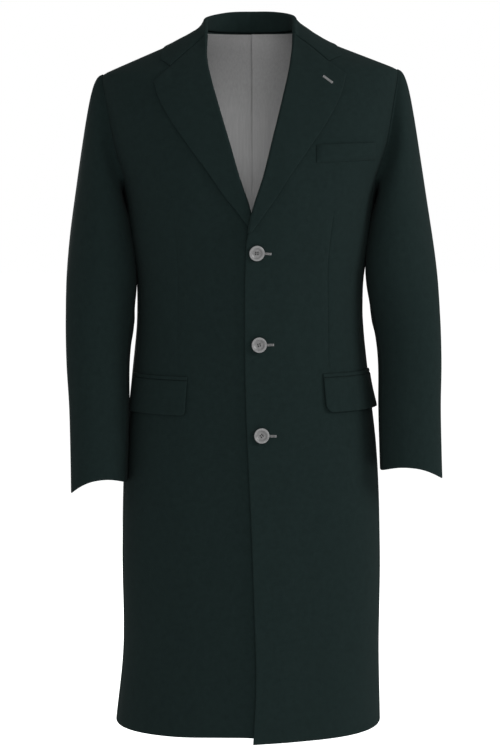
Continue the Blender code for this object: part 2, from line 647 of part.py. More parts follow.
def collar_point(side, station, across):
    """Half of the collar. across 0 to 1 is the stand, 1 to 2 the fold, 2 to 3 the fall."""
    station, across = np.broadcast_arrays(np.asarray(station, float), np.asarray(across, float))
    mirror = np.array([side, 1.0, 1.0])
    seam = np.stack([collar_at(station, "seam_" + axis) for axis in "xyz"], axis=-1) * mirror
    fold = np.stack([collar_at(station, "fold_" + axis) for axis in "xyz"], axis=-1) * mirror
    fold[..., 2] -= COLLAR_SAG[side] * np.sin(np.pi * station) ** 2
    edge = np.stack([collar_at(station, "edge_" + axis) for axis in "xy"], axis=-1) * mirror[:2]
    notch_x, notch_z = lapel_top(side, NOTCH_PLACE)
    notch = on_front(side * notch_x, notch_z + NOTCH_GAP, 0.0)[:2]
    tip = on_front(np.array(side * COLLAR_TIP[side][0]), np.array(COLLAR_TIP[side][1]), 0.0)[:2]
    end = (station ** 6)[..., None]
    last_edge = np.array(COLLAR_STATIONS[-1][-2:]) * mirror[:2]
    edge = edge + end * (tip - last_edge)
    out = edge + end * (notch - tip) - fold[..., :2]
    out = out / np.linalg.norm(out, axis=-1, keepdims=True)
    out = np.concatenate([out, np.zeros(out.shape[:-1] + (1,))], axis=-1)
    up = np.array([0.0, 0.0, 1.0])
    spring = fold - up * COLLAR_ROLL
    stand = seam + (spring - seam) * np.clip(across, 0, 1)[..., None]
    bend = np.pi * np.clip(across - 1, 0, 1)[..., None]
    rolled = spring + COLLAR_ROLL * (out * (1 - np.cos(bend)) + up * np.sin(bend))
    landing = spring + 2 * COLLAR_ROLL * out
    ground = landing[..., :2]
    fall = np.clip(across - 2, 0, 1)[..., None]
    straight = ground + (tip - ground) * fall
    before = ground + (notch - ground) * fall / NOTCH_PLACE
    after = notch + (tip - notch) * (fall - NOTCH_PLACE) / (1 - NOTCH_PLACE)
    gorge = np.where(fall < NOTCH_PLACE, before, after)
    plan = ground + (edge - ground) * fall + end * (gorge - straight)
    foot = top_of_body(ground[..., 0], ground[..., 1])
    rest = top_of_body(plan[..., 0], plan[..., 1])
    flat = np.concatenate([plan, rest[..., None]], axis=-1)
    flat = flat + body_outward(flat) * COLLAR_LIFT * ease(fall * 3)
    drop = (landing[..., 2] - foot) * (1 - fall[..., 0]) ** COLLAR_SPRING[side]
    fallen = flat + up * drop[..., None]
    return np.where((across <= 1)[..., None], stand, np.where((across <= 2)[..., None], rolled, fallen))


def collar(name):
    half = np.array(COLLAR_ROUND_STEPS)[None, :]
    across = np.array(COLLAR_STAND_STEPS + COLLAR_FOLD_STEPS + COLLAR_FALL_STEPS)[:, None]
    halves = []
    for side in (RIGHT, LEFT):
        def shape(u, v, side=side):
            point = collar_point(side, np.clip(np.abs(u), 0, 1), np.clip(v, 0, 3))
            return point * np.stack([np.where(u < 0, -1.0, 1.0), 1 + 0 * u, 1 + 0 * u], axis=-1)

        outward = grid_outward(shape, half + 0 * across, across + 0 * half, -side)
        halves.append((collar_point(side, half, across), outward))
    outer = np.concatenate([halves[0][0][:, :0:-1], halves[1][0]], axis=1)
    outward = np.concatenate([halves[0][1][:, :0:-1], halves[1][1]], axis=1)
    return wall(name, WOOL, outer, outward, COLLAR_CLOTH)


# Lapels: the facing turned out over the fronts
def lapel_point(side, across, rise):
    """across 0 is the roll line, 1 the outer edge; rise 0 is the break, 1 the gorge and top edge."""
    across, rise = np.broadcast_arrays(np.asarray(across, float), np.asarray(rise, float))
    roll_z = LAPEL_BREAK_Z[side] + (GORGE_Z - LAPEL_BREAK_Z[side]) * rise
    edge_table = LAPEL_FOOT[side] + LAPEL_EDGE
    edge_low = edge_table[0][0]
    edge_z = edge_low + (LAPEL_TIP_Z[side] - edge_low) * rise
    tip_shift = LAPEL_TIP_Z[side] - LAPEL_EDGE[-1][0]
    table_z = edge_z - tip_shift * rise ** 3
    inner_x = roll_x(side, roll_z)
    outer_x = along(edge_table, LAPEL_COLUMNS, "edge_x", table_z)
    x = inner_x + (outer_x - inner_x) * across
    z = roll_z + (edge_z - roll_z) * across
    lift = LAPEL_LIFT + LAPEL_ROLL_RISE * (1 - across) ** 3 * ease(rise * 4)
    return on_front(side * x, z, lift + lap_lift(side, side * x, z))


def lapel(side, name):
    across = np.linspace(0.0, 1.0, 7)[None, :]
    rise = np.linspace(0.0, 1.0, 11)[:, None]
    outer = lapel_point(side, across, rise)
    outward = body_outward(outer)
    return wall(name, WOOL, outer, outward, LAPEL_CLOTH)


# Pockets
def breast_welt(name):
    x = np.linspace(WELT_INNER_X, WELT_OUTER_X, 6)[None, :]
    down = np.linspace(0.0, 1.0, 3)[:, None]
    z = WELT_TOP_Z + WELT_SLOPE * (x - WELT_INNER_X) - WELT_HEIGHT * down
    x = x + 0 * z
    outer = on_front(x, z, CLOTH + WELT_GAP + 0 * z)
    return wall(name, WOOL, outer, body_outward(outer), CLOTH)


def flap(side, name):
    across = np.linspace(0.0, 1.0, 9)[None, :]
    down = np.array(FLAP_STEPS)[:, None]
    corner = np.clip(1 - (1 - down) * FLAP_HEIGHT / FLAP_CORNER[side], 0, 1)
    pull = FLAP_CORNER[side] * (1 - np.sqrt(1 - corner ** 2)) / FLAP_WIDTH
    pull = np.minimum(pull, FLAP_CORNER_MOST)
    span = FLAP_TO_DEG[side] - FLAP_FROM_DEG[side]
    degrees = FLAP_FROM_DEG[side] + span * (pull + (1 - 2 * pull) * across)
    z = FLAP_TOP_Z[side] - FLAP_HEIGHT * down + 0 * across
    point = body_point(side, degrees, z)
    outward = body_outward(point)
    lift = FLAP_CLOTH + LAYER_GAP + FLAP_STAND_OFF[side] * down ** 1.5 * (0.3 + 0.7 * across)
    outer = point + outward * lift[..., None]
    return wall(name, WOOL, outer, outward, FLAP_CLOTH)


def jet(side, name):
    across = np.linspace(0.0, 1.0, 9)[None, :]
    down = np.linspace(0.0, 1.0, 2)[:, None]
    degrees = FLAP_FROM_DEG[side] + (FLAP_TO_DEG[side] - FLAP_FROM_DEG[side]) * across
    z = FLAP_TOP_Z[side] + SEAM_GAP + JET_HEIGHT * (1 - down) + 0 * across
    point = body_point(side, degrees + 0 * down, z)
    outward = body_outward(point)
    return wall(name, WOOL, point + outward * (CLOTH + LAYER_GAP), outward, CLOTH)


# Buttons
def over_left_front(x, z, lift):
    """Point that stands off the left front by lift, and the direction out of the cloth there."""
    step = 0.004

    def cloth(x, z):
        return on_front(x, z, lap_lift(LEFT, x, z))

    across = cloth(x + step, z) - cloth(x - step, z)
    upward = cloth(x, z + step) - cloth(x, z - step)
    axis = np.cross(across, upward)
    axis = axis / np.linalg.norm(axis)
    return cloth(x, z) + axis * lift, axis


def cut_thread_holes(item, seat, axis, aside, upward):
    """Four holes through a button, for the thread that sews it on."""
    turned = Matrix([aside, upward, axis]).transposed().to_4x4()
    holes = bmesh.new()
    for across in (-THREAD_HOLE_SPREAD, THREAD_HOLE_SPREAD):
        for above in (-THREAD_HOLE_SPREAD, THREAD_HOLE_SPREAD):
            middle = Vector(seat + aside * across + upward * above)
            bmesh.ops.create_cone(
                holes, cap_ends=True, segments=THREAD_HOLE_SEGMENTS, depth=THREAD_HOLE_DEPTH,
                radius1=THREAD_HOLE_RADIUS, radius2=THREAD_HOLE_RADIUS,
                matrix=Matrix.Translation(middle) @ turned)
    cutter = piece(item.name + "_holes", HORN, holes)
    cutter.hide_render = True
    cutter.display_type = "WIRE"
    cut = item.modifiers.new("thread holes", "BOOLEAN")
    cut.operation = "DIFFERENCE"
    cut.object = cutter


def button(name, spot):
    place = dict(zip(BUTTON_COLUMNS, spot))
    x = np.array(place["x"])
    z = np.array(place["height"])
    seat, axis = over_left_front(x, z, BUTTON_STAND_OFF)
    aside = np.cross(np.array([0.0, 0.0, 1.0]), axis)
    aside = aside / np.linalg.norm(aside)
    upward = np.cross(axis, aside)
    profile = (
        (0.0, BUTTON_THICK - BUTTON_DISH),
        (BUTTON_RADIUS - 1.6 * BUTTON_RIM, BUTTON_THICK - BUTTON_DISH),
        (BUTTON_RADIUS - BUTTON_RIM, BUTTON_THICK),
        (BUTTON_RADIUS - 0.4 * BUTTON_RIM, BUTTON_THICK),
        (BUTTON_RADIUS, 0.6 * BUTTON_THICK),
        (BUTTON_RADIUS - 0.6 * BUTTON_RIM, 0.0),
        (0.0, 0.0),
    )
    segments = BUTTON_SEGMENTS
    mesh = bmesh.new()
    rings = []
    for radius, height in profile:
        if radius == 0.0:
            rings.append([mesh.verts.new(tuple(seat + axis * height))])
            continue
        turns = np.arange(segments) * 2 * np.pi / segments
        ring = [seat + axis * height + radius * (aside * np.cos(t) + upward * np.sin(t)) for t in turns]
        rings.append([mesh.verts.new(tuple(point)) for point in ring])
    for near, far in zip(rings, rings[1:]):
        for i in range(segments):
            j = (i + 1) % segments
            if len(near) == 1:
                mesh.faces.new((near[0], far[i], far[j]))
            elif len(far) == 1:
                mesh.faces.new((near[i], near[j], far[0]))
            else:
                mesh.faces.new((near[i], near[j], far[j], far[i]))
    item = piece(name, HORN, mesh)
    cut_thread_holes(item, seat, axis, aside, upward)
    return item


for old in list(bpy.data.objects):
    bpy.data.objects.remove(old)

front(LEFT, "front_left")
front(RIGHT, "front_right")
side_body(LEFT, "side_left")
side_body(RIGHT, "side_right")
back(LEFT, "back_left")
back(RIGHT, "back_right")
lining(LEFT, "lining_left")
lining(RIGHT, "lining_right")
for sleeve_side, word in ((LEFT, "left"), (RIGHT, "right")):
    sleeve(sleeve_side, "top_sleeve_" + word, HIND_SEAM, 1.0 + FORE_SEAM, 13)
    sleeve(sleeve_side, "under_sleeve_" + word, FORE_SEAM, HIND_SEAM, 6)
    lapel(sleeve_side, "lapel_" + word)
    flap(sleeve_side, "flap_" + word)
    jet(sleeve_side, "jet_" + word)
collar("collar")
breast_welt("breast_welt")
for number, spot in enumerate(BUTTON_SPOTS, start=1):
    button("button_" + str(number), spot)
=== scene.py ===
"""Looks of the topcoat: wool shells on the forms of its solids, satin lining, buttons and buttonholes.

Metres, in the part's own frame: the wearer faces -Y, the wearer's left is +X, +Z is up.
"""

import bmesh
import bpy
import numpy as np
from mathutils import Matrix, Vector


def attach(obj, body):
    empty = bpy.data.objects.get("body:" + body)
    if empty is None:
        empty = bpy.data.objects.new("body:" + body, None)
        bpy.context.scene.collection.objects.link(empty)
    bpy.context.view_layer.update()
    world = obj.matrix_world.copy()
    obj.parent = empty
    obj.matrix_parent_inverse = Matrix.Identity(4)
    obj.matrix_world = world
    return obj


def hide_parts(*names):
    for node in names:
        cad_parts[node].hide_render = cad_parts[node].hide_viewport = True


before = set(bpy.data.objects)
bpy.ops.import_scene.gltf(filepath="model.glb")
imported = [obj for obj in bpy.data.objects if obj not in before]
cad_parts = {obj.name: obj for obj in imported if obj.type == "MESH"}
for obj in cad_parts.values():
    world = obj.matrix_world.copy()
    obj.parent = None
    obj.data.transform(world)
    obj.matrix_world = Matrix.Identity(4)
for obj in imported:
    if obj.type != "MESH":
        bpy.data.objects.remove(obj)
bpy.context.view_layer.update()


# Fronts: two panels of heavy felted wool, each cut whole from shoulder to hem and shaped by one dart.
# The left front laps over the right one and buttons to it. Their free edges are faced and turned, so
# they are round and a little thick. All their other edges are sewn into seams.
LEFT = 1.0
RIGHT = -1.0
WORD = {LEFT: "left", RIGHT: "right"}
CLOTH = 0.0020
SEAM_LAP = 0.0002
CLOTH_STEP = 0.0055
EDGE_STEPS = (0.0, 0.0003, 0.0008, 0.0016, 0.0032)
EDGE_ROUNDNESS = 0.9
SEAM_DIP = (0.0005, 0.0026)

NECK_HALF_WIDTH = 0.070
SHOULDER_HALF_WIDTH = 0.2285
SHOULDER_DROP = {LEFT: 0.0602, RIGHT: 0.0685}
SHOULDER_SOFTNESS = 0.0030
RIDGE_Y = 0.010
HEM_Z = -1.0745
FRONT_HEM_SHIFT = {LEFT: -0.0030, RIGHT: 0.0060}
BODY_COLUMNS = ("height", "half_width", "front_depth", "back_depth", "squareness", "centre_x")
BODY_SECTIONS = (
    (-1.0745, 0.2085, 0.146, 0.150, 2.40, -0.0030),
    (-0.9700, 0.2022, 0.143, 0.143, 2.40, 0.0014),
    (-0.8000, 0.2027, 0.139, 0.135, 2.40, 0.0018),
    (-0.6400, 0.1960, 0.134, 0.127, 2.40, 0.0010),
    (-0.5300, 0.1838, 0.130, 0.113, 2.36, 0.0002),
    (-0.4400, 0.1755, 0.128, 0.101, 2.32, 0.0000),
    (-0.3850, 0.1760, 0.131, 0.106, 2.30, 0.0000),
    (-0.3200, 0.1860, 0.135, 0.114, 2.30, 0.0000),
    (-0.2500, 0.1950, 0.137, 0.124, 2.30, 0.0000),
    (-0.1700, 0.2190, 0.126, 0.131, 2.30, 0.0000),
    (-0.1000, 0.2285, 0.102, 0.124, 2.24, 0.0000),
    (-0.0600, 0.2285, 0.076, 0.110, 2.16, 0.0000),
    (-0.0300, 0.2285, 0.052, 0.096, 2.08, 0.0000),
    (0.0000, 0.2285, 0.026, 0.080, 2.00, 0.0000),
)
FRONT_SEAM_DEG = 78.0
FRONT_SEAM_TOP_DEG = 72.0
BACK_SEAM_DEG = 118.0
ARMHOLE_CORNER_Z = -0.225
ARMHOLE_POWER = 6.0
ARMHOLE_ROWS = 36
SHOULDER_ROWS = 22
LEAST_HALF_WIDTH = 0.002
SLOPE_STEP = 0.0004

EDGE_COLUMNS = ("height", "edge_x")
FRONT_EDGE = (
    (-1.0770, 0.0045),
    (-1.0000, 0.0085),
    (-0.8600, 0.0055),
    (-0.7700, 0.0025),
    (-0.6600, -0.0025),
    (-0.5700, -0.0062),
    (-0.4500, -0.0080),
    (-0.3800, -0.0076),
    (-0.3200, -0.0056),
)
ROLL_COLUMNS = ("height", "roll_x")
ROLL_LINE = (
    (-0.3100, -0.0065),
    (-0.3030, -0.0055),
    (-0.2680, 0.0030),
    (-0.2280, 0.0165),
    (-0.1800, 0.0295),
    (-0.1100, 0.0485),
    (-0.0850, 0.0550),
    (-0.0600, 0.0605),
    (-0.0300, 0.0640),
    (0.0000, 0.0655),
)
ROLL_LEAN = 0.0022
ROLL_LEAN_Z = -0.270
ROLL_SETBACK = 0.0040
UNDERLAP_X = 0.040
UNDERLAP_START_X = 0.010
UNDERLAP_TOP_Z = -0.330
UNDERLAP_FADE = 0.040
LAP_OUT = 0.0020
LAP_IN = 0.0010
LAP_FULL_X = 0.045
LAP_FADE = 0.050
BREAK_RISE = 0.0026
BREAK_SINK = 0.0020
BREAK_LOW_Z = -0.350
BREAK_LOW_FADE = 0.045
BREAK_HIGH_Z = -0.150
BREAK_HIGH_FADE = 0.080
KEEL = 0.0085
KEEL_REACH = 0.085
KEEL_TOP_Z = -0.250
KEEL_FADE = 0.090
UNDER_EDGE_SINK = 0.0008
UNDER_EDGE_X = 0.006
UNDER_EDGE_FADE = 0.036

FRONT_WIDTH = 0.200
JOIN_SKIP = 0.01
DART_PLACE = 0.55
DART_PLACE_LIMITS = (0.2, 0.8)
DART_COLUMNS = ("height", "dart_x")
DARTS = {
    LEFT: ((-0.520, 0.1190), (-0.411, 0.1178), (-0.350, 0.1182), (-0.304, 0.1226), (-0.268, 0.1270)),
    RIGHT: ((-0.485, 0.1099), (-0.360, 0.1093), (-0.326, 0.1114), (-0.280, 0.1157), (-0.253, 0.1204)),
}
DART_SEAM = {LEFT: (0.0009, 0.0010), RIGHT: (0.0005, 0.0010)}
DART_HOLLOW = (0.0007, 0.0060)
DART_FADE = 0.025

GIRTH_PER_DEGREE = 0.0029
SEAM_LAP_DEG = SEAM_LAP / 2 / GIRTH_PER_DEGREE
CREASE_COLUMNS = ("side", "from_place", "from_z", "to_place", "to_z", "width", "depth")
CREASE_TAPER = 0.4
BODY_CREASES = (
    (LEFT, 66, -0.285, 16, -0.430, 0.030, 0.0009),
    (RIGHT, 64, -0.275, 14, -0.400, 0.034, 0.0011),
    (LEFT, 30, -0.640, 25, -1.120, 0.040, 0.0012),
    (LEFT, 55, -0.660, 58, -1.120, 0.036, -0.0012),
    (RIGHT, 33, -0.660, 37, -1.120, 0.042, 0.0013),
    (RIGHT, 57, -0.630, 59, -1.120, 0.032, -0.0011),
    (LEFT, 84, -0.420, 99, -0.452, 0.013, 0.0014),
    (LEFT, 104, -0.385, 122, -0.432, 0.015, 0.0016),
    (RIGHT, 86, -0.436, 102, -0.462, 0.012, 0.0013),
    (RIGHT, 100, -0.378, 120, -0.418, 0.016, 0.0017),
    (LEFT, 97, -0.610, 95, -1.120, 0.034, 0.0020),
    (RIGHT, 93, -0.640, 97, -1.120, 0.032, 0.0018),
    (LEFT, 152, -0.150, 126, -0.400, 0.028, 0.0034),
    (RIGHT, 146, -0.170, 124, -0.420, 0.032, 0.0031),
    (LEFT, 174, -0.398, 142, -0.446, 0.015, 0.0024),
    (RIGHT, 170, -0.424, 136, -0.468, 0.017, 0.0026),
    (LEFT, 150, -0.580, 155, -1.130, 0.032, 0.0042),
    (LEFT, 133, -0.600, 128, -1.130, 0.028, -0.0032),
    (RIGHT, 153, -0.610, 147, -1.130, 0.030, 0.0038),
    (RIGHT, 130, -0.570, 135, -1.120, 0.029, -0.0030),
)


def along(table, columns, name, height):
    """Smooth curve through one column of a table, read at the given heights (first column)."""
    rows = np.array(table)
    knots = rows[:, 0]
    values = rows[:, columns.index(name)]
    slopes = np.gradient(values, knots)
    at = np.clip(np.asarray(height, float), knots[0], knots[-1])
    low = np.clip(np.searchsorted(knots, at) - 1, 0, len(knots) - 2)
    span = knots[low + 1] - knots[low]
    t = (at - knots[low]) / span
    from_low = (1 + 2 * t) * (1 - t) ** 2 * values[low] + t * (1 - t) ** 2 * span * slopes[low]
    from_high = t * t * (3 - 2 * t) * values[low + 1] + t * t * (t - 1) * span * slopes[low + 1]
    return from_low + from_high


def signed_power(value, power):
    """Power of a number's size, with the number's sign."""
    return np.sign(value) * np.abs(value) ** power


def ease(value):
    """Soft step from 0 to 1."""
    t = np.clip(value, 0.0, 1.0)
    return t * t * (3 - 2 * t)


def bump_over(distance, size):
    """Height of a soft ridge of the given (height, width) at a distance from its middle."""
    return size[0] * np.exp(-(distance / size[1]) ** 2)


def half_width(side, z):
    """Half width of the level section at z, which the slope of the shoulder cuts short at the top."""
    slope = np.where(side > 0, SHOULDER_DROP[LEFT], SHOULDER_DROP[RIGHT])
    slope = slope / (SHOULDER_HALF_WIDTH - NECK_HALF_WIDTH)
    level = along(BODY_SECTIONS, BODY_COLUMNS, "half_width", z)
    sloped = NECK_HALF_WIDTH - z / slope
    return (level + sloped) / 2 - np.sqrt(((level - sloped) / 2) ** 2 + SHOULDER_SOFTNESS ** 2)


def section(side, z):
    """Half width, front and back depth from the ridge, squareness and centre of the level section at z."""
    columns = BODY_COLUMNS[2:]
    front, back, square, centre = (along(BODY_SECTIONS, BODY_COLUMNS, name, z) for name in columns)
    return half_width(side, z), front + RIDGE_Y, back - RIDGE_Y, square, centre


def body_point(side, degrees, z):
    """Point of the body form: 0 degrees is centre front, 90 the side or shoulder, 180 centre back."""
    z = np.asarray(z, float)
    turn = np.radians(degrees)
    wide, front, back, square, centre = section(side, z)
    ahead = signed_power(np.cos(turn), 2 / square)
    x = centre + side * wide * signed_power(np.sin(turn), 2 / square)
    y = RIDGE_Y - np.where(ahead >= 0, front, back) * ahead
    return np.stack(np.broadcast_arrays(x, y, z), axis=-1)


def body_level(point):
    """1 on the body form, less inside it, more outside."""
    x, y, z = point[..., 0], point[..., 1], point[..., 2]
    wide, front, back, square, centre = section(np.where(x >= 0, LEFT, RIGHT), z)
    wide = np.maximum(wide, LEAST_HALF_WIDTH)
    deep = np.where(y < RIDGE_Y, front, back)
    return np.abs((x - centre) / wide) ** square + np.abs((y - RIDGE_Y) / deep) ** square


def body_slope(point):
    """How fast body_level grows along X, Y and Z, per metre."""
    slopes = []
    for axis in np.eye(3):
        rise = body_level(point + SLOPE_STEP * axis) - body_level(point - SLOPE_STEP * axis)
        slopes.append(rise / (2 * SLOPE_STEP))
    return np.stack(slopes, axis=-1)


def unit(vector):
    """Vectors of length 1 along the given ones."""
    return vector / np.linalg.norm(vector, axis=-1, keepdims=True)


def body_outward(point):
    """Unit vector out of the body form."""
    return unit(body_slope(point))


def raised(point, outward, lift):
    """Points moved outward by lift."""
    return point + outward * np.asarray(lift)[..., None]


def degrees_at(side, x, z):
    """Angle on the front half of the body form whose width is x, measured towards the given side."""
    wide, _, _, square, centre = section(side, z)
    sine = np.clip(signed_power(side * (x - centre) / wide, square / 2), -1, 1)
    return np.degrees(np.arcsin(sine))


def on_front(x, z, lift):
    """Point on the front of the body form at x and z, moved out by lift."""
    side = np.where(x >= 0, LEFT, RIGHT)
    point = body_point(side, degrees_at(side, x, z), z)
    return raised(point, body_outward(point), lift)


def crease_lift(table, girth_per_place, side, place, z):
    """How far soft troughs (down) and ridges (up) move the cloth, at places around it and heights.

    A place is in degrees or in turns, and girth_per_place is the length of cloth that one of them takes.
    """
    around = place * girth_per_place
    lift = np.zeros(np.broadcast(around, z).shape)
    for row in table:
        fold = dict(zip(CREASE_COLUMNS, row))
        if fold["side"] != side:
            continue
        start = np.array([fold["from_place"] * girth_per_place, fold["from_z"]])
        end = np.array([fold["to_place"] * girth_per_place, fold["to_z"]])
        run = end - start
        length = np.linalg.norm(run)
        share = ((around - start[0]) * run[0] + (z - start[1]) * run[1]) / length ** 2
        off = ((around - start[0]) * run[1] - (z - start[1]) * run[0]) / length
        taper = ease(share / CREASE_TAPER) * ease((1 - share) / CREASE_TAPER)
        lift = lift - bump_over(off, (fold["depth"], fold["width"])) * taper
    return lift


def body_creases(side, degrees, z):
    """Creases of the body panels, which the pieces that lie on them follow."""
    return crease_lift(BODY_CREASES, GIRTH_PER_DEGREE, side, degrees, z)


def steps(length, spacing=CLOTH_STEP, inside=()):
    """Shares from 0 to 1 along a length of cloth: close where its edges turn and at the spots inside."""
    lead = np.array(EDGE_STEPS)
    count = max(2, int(round((length - 2 * lead[-1]) / spacing)) + 1)
    middle = np.linspace(lead[-1], length - lead[-1], count)
    places = np.concatenate([lead[:-1], middle, length - lead[-2::-1]])
    for spot in inside:
        places = places[np.abs(places - spot * length) > lead[-1] + spacing / 3]
        places = np.concatenate([places, spot * length - lead[:0:-1], spot * length + lead])
    return np.sort(places) / length


def edge_distances(points):
    """Distance over the cloth from each point of a grid to its first and last row and column."""
    down = np.cumsum(np.linalg.norm(np.diff(points, axis=0), axis=-1), axis=0)
    across = np.cumsum(np.linalg.norm(np.diff(points, axis=1), axis=-1), axis=1)
    down = np.concatenate([np.zeros((1, points.shape[1])), down])
    across = np.concatenate([np.zeros((points.shape[0], 1)), across], axis=1)
    return {"first_row": down, "last_row": down[-1:] - down,
            "first_column": across, "last_column": across[:, -1:] - across}


def rounded(distance, thick):
    """Share of its thickness that cloth has at a distance from an edge that is turned round."""
    inset = 1 - np.clip(distance / (EDGE_ROUNDNESS * thick), 0, 1)
    return np.sqrt(1 - inset ** 2)


def shell(name, outer, outward, thick, finish, seams=()):
    """Closed sheet of cloth under a grid of outer points.

    A free edge is round on both sides. An edge sewn into a seam dips, and is round on the outside only.
    """
    rows, columns = outer.shape[:2]
    from_edge = edge_distances(outer)
    sewn = np.ones((rows, columns))
    free = np.ones((rows, columns))
    for edge, distance in from_edge.items():
        if edge in seams:
            outer = outer - outward * bump_over(distance, SEAM_DIP)[..., None]
            sewn = np.minimum(sewn, rounded(distance, thick))
        else:
            free = np.minimum(free, rounded(distance, thick))
    half = outward * (thick / 2 * np.minimum(sewn, free))[..., None]
    middle = outer - outward * (thick / 2 * (2 - sewn))[..., None]
    face = np.arange(rows * columns).reshape(rows, columns)
    inside = np.zeros((rows, columns), bool)
    inside[1:-1, 1:-1] = True
    reverse = face.copy()
    reverse[inside] = rows * columns + np.arange(inside.sum())
    points = np.concatenate([(middle + half).reshape(-1, 3), (middle - half)[inside]])
    quads = []
    for layer in (face, reverse):
        corners = [layer[:-1, :-1], layer[:-1, 1:], layer[1:, 1:], layer[1:, :-1]]
        quads.append(np.stack(corners, axis=-1).reshape(-1, 4))
    facing = np.cross(np.gradient(outer, axis=1), np.gradient(outer, axis=0))
    if (facing * outward).sum() > 0:
        quads[1] = quads[1][:, ::-1]
    else:
        quads[0] = quads[0][:, ::-1]
    return piece(name, points, np.concatenate(quads), finish)


def piece(name, points, faces, finish):
    """Smooth mesh with one finish, riding on the coat."""
    mesh = bpy.data.meshes.new(name)
    mesh.from_pydata(np.asarray(points).tolist(), [], [list(map(int, one)) for one in faces])
    mesh.shade_smooth()
    mesh.materials.append(finish)
    item = bpy.data.objects.new(name, mesh)
    bpy.context.scene.collection.objects.link(item)
    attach(item, "root")
    return item


def set_inputs(node, values):
    """Sets the named inputs of a shader node."""
    for name, value in values.items():
        node.inputs[name].default_value = value


def added(tree, kind, values):
    """New shader node with its named inputs set."""
    node = tree.nodes.new(kind)
    set_inputs(node, values)
    return node


def new_finish(name, values):
    """New material, its node tree and its shader, with the shader's named inputs set."""
    material = bpy.data.materials.new(name)
    material.use_nodes = True
    shader = material.node_tree.nodes["Principled BSDF"]
    set_inputs(shader, values)
    return material, material.node_tree, shader


def piece_place(tree):
    """Where a spot is on the piece, in metres."""
    return tree.nodes.new("ShaderNodeTexCoord").outputs["Object"]


def noise(tree, place, values):
    """Uneven values from 0 to 1 over the given places."""
    texture = added(tree, "ShaderNodeTexNoise", values)
    tree.links.new(place, texture.inputs["Vector"])
    return texture.outputs["Fac"]


def two_tone(tree, factor, tones, tones_at):
    """Colour that goes from one tone to the other between two values of the factor."""
    ramp = tree.nodes.new("ShaderNodeValToRGB")
    for stop, tone, place in zip(ramp.color_ramp.elements, tones, tones_at):
        stop.position = place
        stop.color = tone + (1.0,)
    tree.links.new(factor, ramp.inputs["Fac"])
    return ramp.outputs["Color"]


def multiplied(tree, colour, shade):
    """One colour output times another."""
    mix = tree.nodes.new("ShaderNodeMix")
    mix.data_type = "RGBA"
    mix.blend_type = "MULTIPLY"
    mix.inputs["Factor"].default_value = 1.0
    sockets = [one for one in mix.inputs if one.type == "RGBA"]
    tree.links.new(colour, sockets[0])
    tree.links.new(shade, sockets[1])
    return next(one for one in mix.outputs if one.type == "RGBA")


def roughened(tree, shader, height, values):
    """Gives a shader a fine relief from heights between 0 and 1."""
    bump = added(tree, "ShaderNodeBump", values)
    tree.links.new(height, bump.inputs["Height"])
    tree.links.new(bump.outputs["Normal"], shader.inputs["Normal"])


WOOL_SURFACE = {"Roughness": 0.95, "Specular IOR Level": 0.005,
                "Sheen Weight": 0.006, "Sheen Roughness": 0.60}
WOOL_FIBRES = {"Scale": 900.0, "Detail": 5.0, "Roughness": 0.65}
WOOL_TONES = ((0.0055, 0.0099, 0.0095), (0.0074, 0.0129, 0.0124))
WOOL_TONES_AT = (0.35, 0.65)
WOOL_CLOUDS = {"Scale": 130.0, "Detail": 5.0, "Roughness": 0.65}
CLOUD_TONES = ((0.82, 0.82, 0.82), (1.0, 1.0, 1.0))
CLOUD_TONES_AT = (0.3, 0.7)
WOOL_NAP = {"Scale": 1500.0, "Detail": 4.0, "Roughness": 0.7}
WOOL_NAP_RELIEF = {"Strength": 0.5, "Distance": 0.0004}


def felted_wool():
    """Dense matt coating: short matted fibres in two close tones, cloudy, with a fuzzy nap."""
    material, tree, shader = new_finish("felted_wool", WOOL_SURFACE)
    place = piece_place(tree)
    fibres = two_tone(tree, noise(tree, place, WOOL_FIBRES), WOOL_TONES, WOOL_TONES_AT)
    clouds = two_tone(tree, noise(tree, place, WOOL_CLOUDS), CLOUD_TONES, CLOUD_TONES_AT)
    tree.links.new(multiplied(tree, fibres, clouds), shader.inputs["Base Color"])
    roughened(tree, shader, noise(tree, place, WOOL_NAP), WOOL_NAP_RELIEF)
    return material


wool = felted_wool()


def front_seam_degrees(z):
    """The seam between front and side body, which drifts forward a little towards the armhole."""
    up = np.clip((z - HEM_Z) / (ARMHOLE_CORNER_Z - HEM_Z), 0.0, 1.0)
    return FRONT_SEAM_DEG + (FRONT_SEAM_TOP_DEG - FRONT_SEAM_DEG) * up


def armhole_degrees(side, z, seam_degrees, inset):
    """Angle of the armhole edge at z: starts at the underarm seam and closes to 90 at the shoulder tip."""
    rise = np.clip((z - ARMHOLE_CORNER_Z) / (-SHOULDER_DROP[side] - ARMHOLE_CORNER_Z), 0.0, 1.0)
    toward = np.sign(90.0 - seam_degrees)
    return seam_degrees + (90.0 - seam_degrees) * rise ** ARMHOLE_POWER - toward * inset


def roll_x(side, z):
    """Roll line of a lapel, measured towards its side. The foot of the V is a little to the left."""
    lean = ROLL_LEAN * (ease(z / ROLL_LEAN_Z) * 2 - 1)
    return along(ROLL_LINE, ROLL_COLUMNS, "roll_x", z) + side * lean


def lap_lift(side, x, z):
    """How far a front stands out of the body form where the two fronts overlap."""
    near = 1 - ease((side * x - LAP_FULL_X) / LAP_FADE)
    at_break = ease((z - BREAK_LOW_Z) / BREAK_LOW_FADE) * ease((BREAK_HIGH_Z - z) / BREAK_HIGH_FADE)
    from_edge = np.abs(x - along(FRONT_EDGE, EDGE_COLUMNS, "edge_x", z))
    keel = KEEL * np.clip(1 - from_edge / KEEL_REACH, 0, 1) ** 2 * ease((KEEL_TOP_Z - z) / KEEL_FADE)
    if side == LEFT:
        return keel + near * (LAP_OUT + BREAK_RISE * at_break)
    return keel - near * (LAP_IN + BREAK_SINK * at_break)


